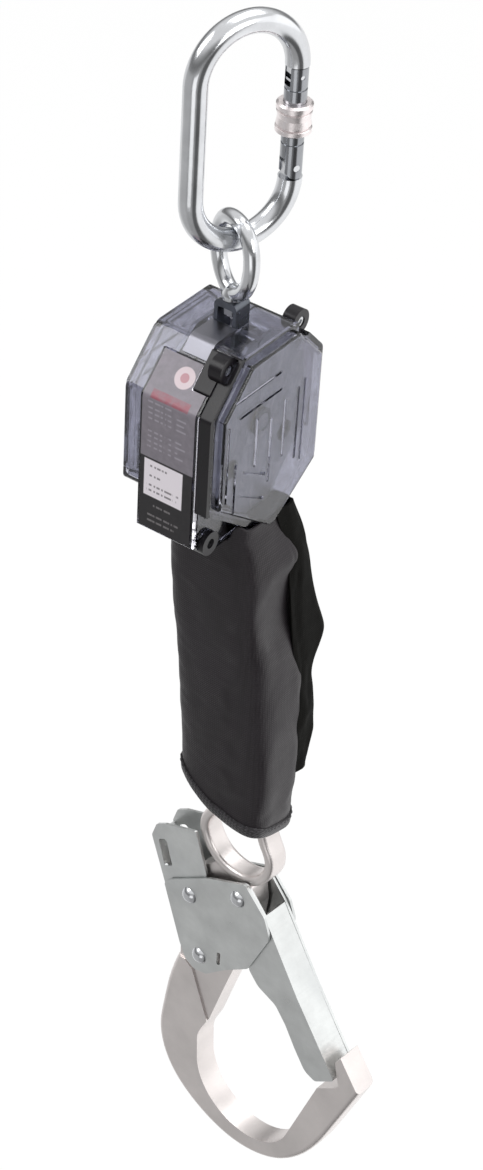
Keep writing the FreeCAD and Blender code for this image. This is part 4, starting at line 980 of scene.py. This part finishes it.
def floor_material():
    """White to the camera and through clear parts; other rays meet a glow that varies round it."""
    material = bpy.data.materials.new("pale_floor")
    material.use_nodes = True
    m = Nodes(material.node_tree)
    position = m.add("ShaderNodeNewGeometry").outputs["Position"]
    x, y, _ = m.add("ShaderNodeSeparateXYZ", {0: position}).outputs
    glow_color = m.ramp(m.compass(x, y), FLOOR_GLOW)
    glow = m.add("ShaderNodeEmission", {"Color": glow_color, "Strength": 1.30})
    white = m.add("ShaderNodeEmission", {"Color": (1, 1, 1, 1), "Strength": 1.0})
    matte = m.add("ShaderNodeBsdfDiffuse", {"Color": (.86, .86, .86, 1)})
    plain = m.add("ShaderNodeMixShader", {0: .93, 1: matte.outputs[0], 2: white.outputs[0]})
    rays = m.add("ShaderNodeLightPath").outputs
    seen = m.calc("MAXIMUM", rays["Is Camera Ray"], m.times(rays["Is Transmission Ray"], 1.0))
    surface = m.add("ShaderNodeMixShader", {0: seen, 1: glow.outputs[0], 2: plain.outputs[0]})
    m.add("ShaderNodeOutputMaterial", {0: surface.outputs[0]})
    return material


def add_floor():
    floor = bpy.data.objects.new("floor", bpy.data.meshes.new("floor"))
    grid = bmesh.new()
    bmesh.ops.create_grid(grid, x_segments=1, y_segments=1, size=12)
    grid.to_mesh(floor.data)
    grid.free()
    scene.collection.objects.link(floor)
    floor.location = (0, 0, -.66 + AXIS_Z * MM)
    floor.data.materials.append(floor_material())


def add_world():
    world = bpy.data.worlds.new("studio")
    scene.world = world
    world.use_nodes = True
    w = Nodes(world.node_tree)
    direction = w.add("ShaderNodeTexCoord").outputs["Generated"]
    x, y, z = w.add("ShaderNodeSeparateXYZ", {0: direction}).outputs
    # a trace of blue in the sky
    sky = w.ramp(w.remap(z, (-1, 1), to=(0, 1)), [(p, (v, v, v * 1.01)) for p, v in SKY])
    below_top = w.remap(z, (.62, .50), to=(0, 1))
    panel = w.times(w.times(w.ramp(w.compass(x, y), SIDE_PANEL), below_top), 1.5)
    color = w.calc("MAXIMUM", sky, panel)
    background = w.add("ShaderNodeBackground", {"Color": color, "Strength": 1.0})
    w.add("ShaderNodeOutputWorld", {0: background.outputs[0]})


add_camera()
add_light("key", at=(-1.1, -1.0, 1.3), to=(0, 0, -.12), size=1.0, power=12)
add_light("fill", at=(1.6, -.3, .7), to=(0, 0, -.12), size=.9, power=9)
add_light("top", at=(.1, .5, 1.6), to=(0, 0, -.1), size=1.2, power=14)
add_light("low", at=(.5, -1.2, -.35), to=(0, 0, -.2), size=.7, power=1.5)
add_floor()
add_world()

scene.view_settings.view_transform = "Standard"
scene.view_settings.look = "None"
scene.cycles.max_bounces = 14
scene.cycles.transmission_bounces = 12
scene.cycles.transparent_max_bounces = 12
scene.cycles.glossy_bounces = 6
scene.cycles.sample_clamp_indirect = 6
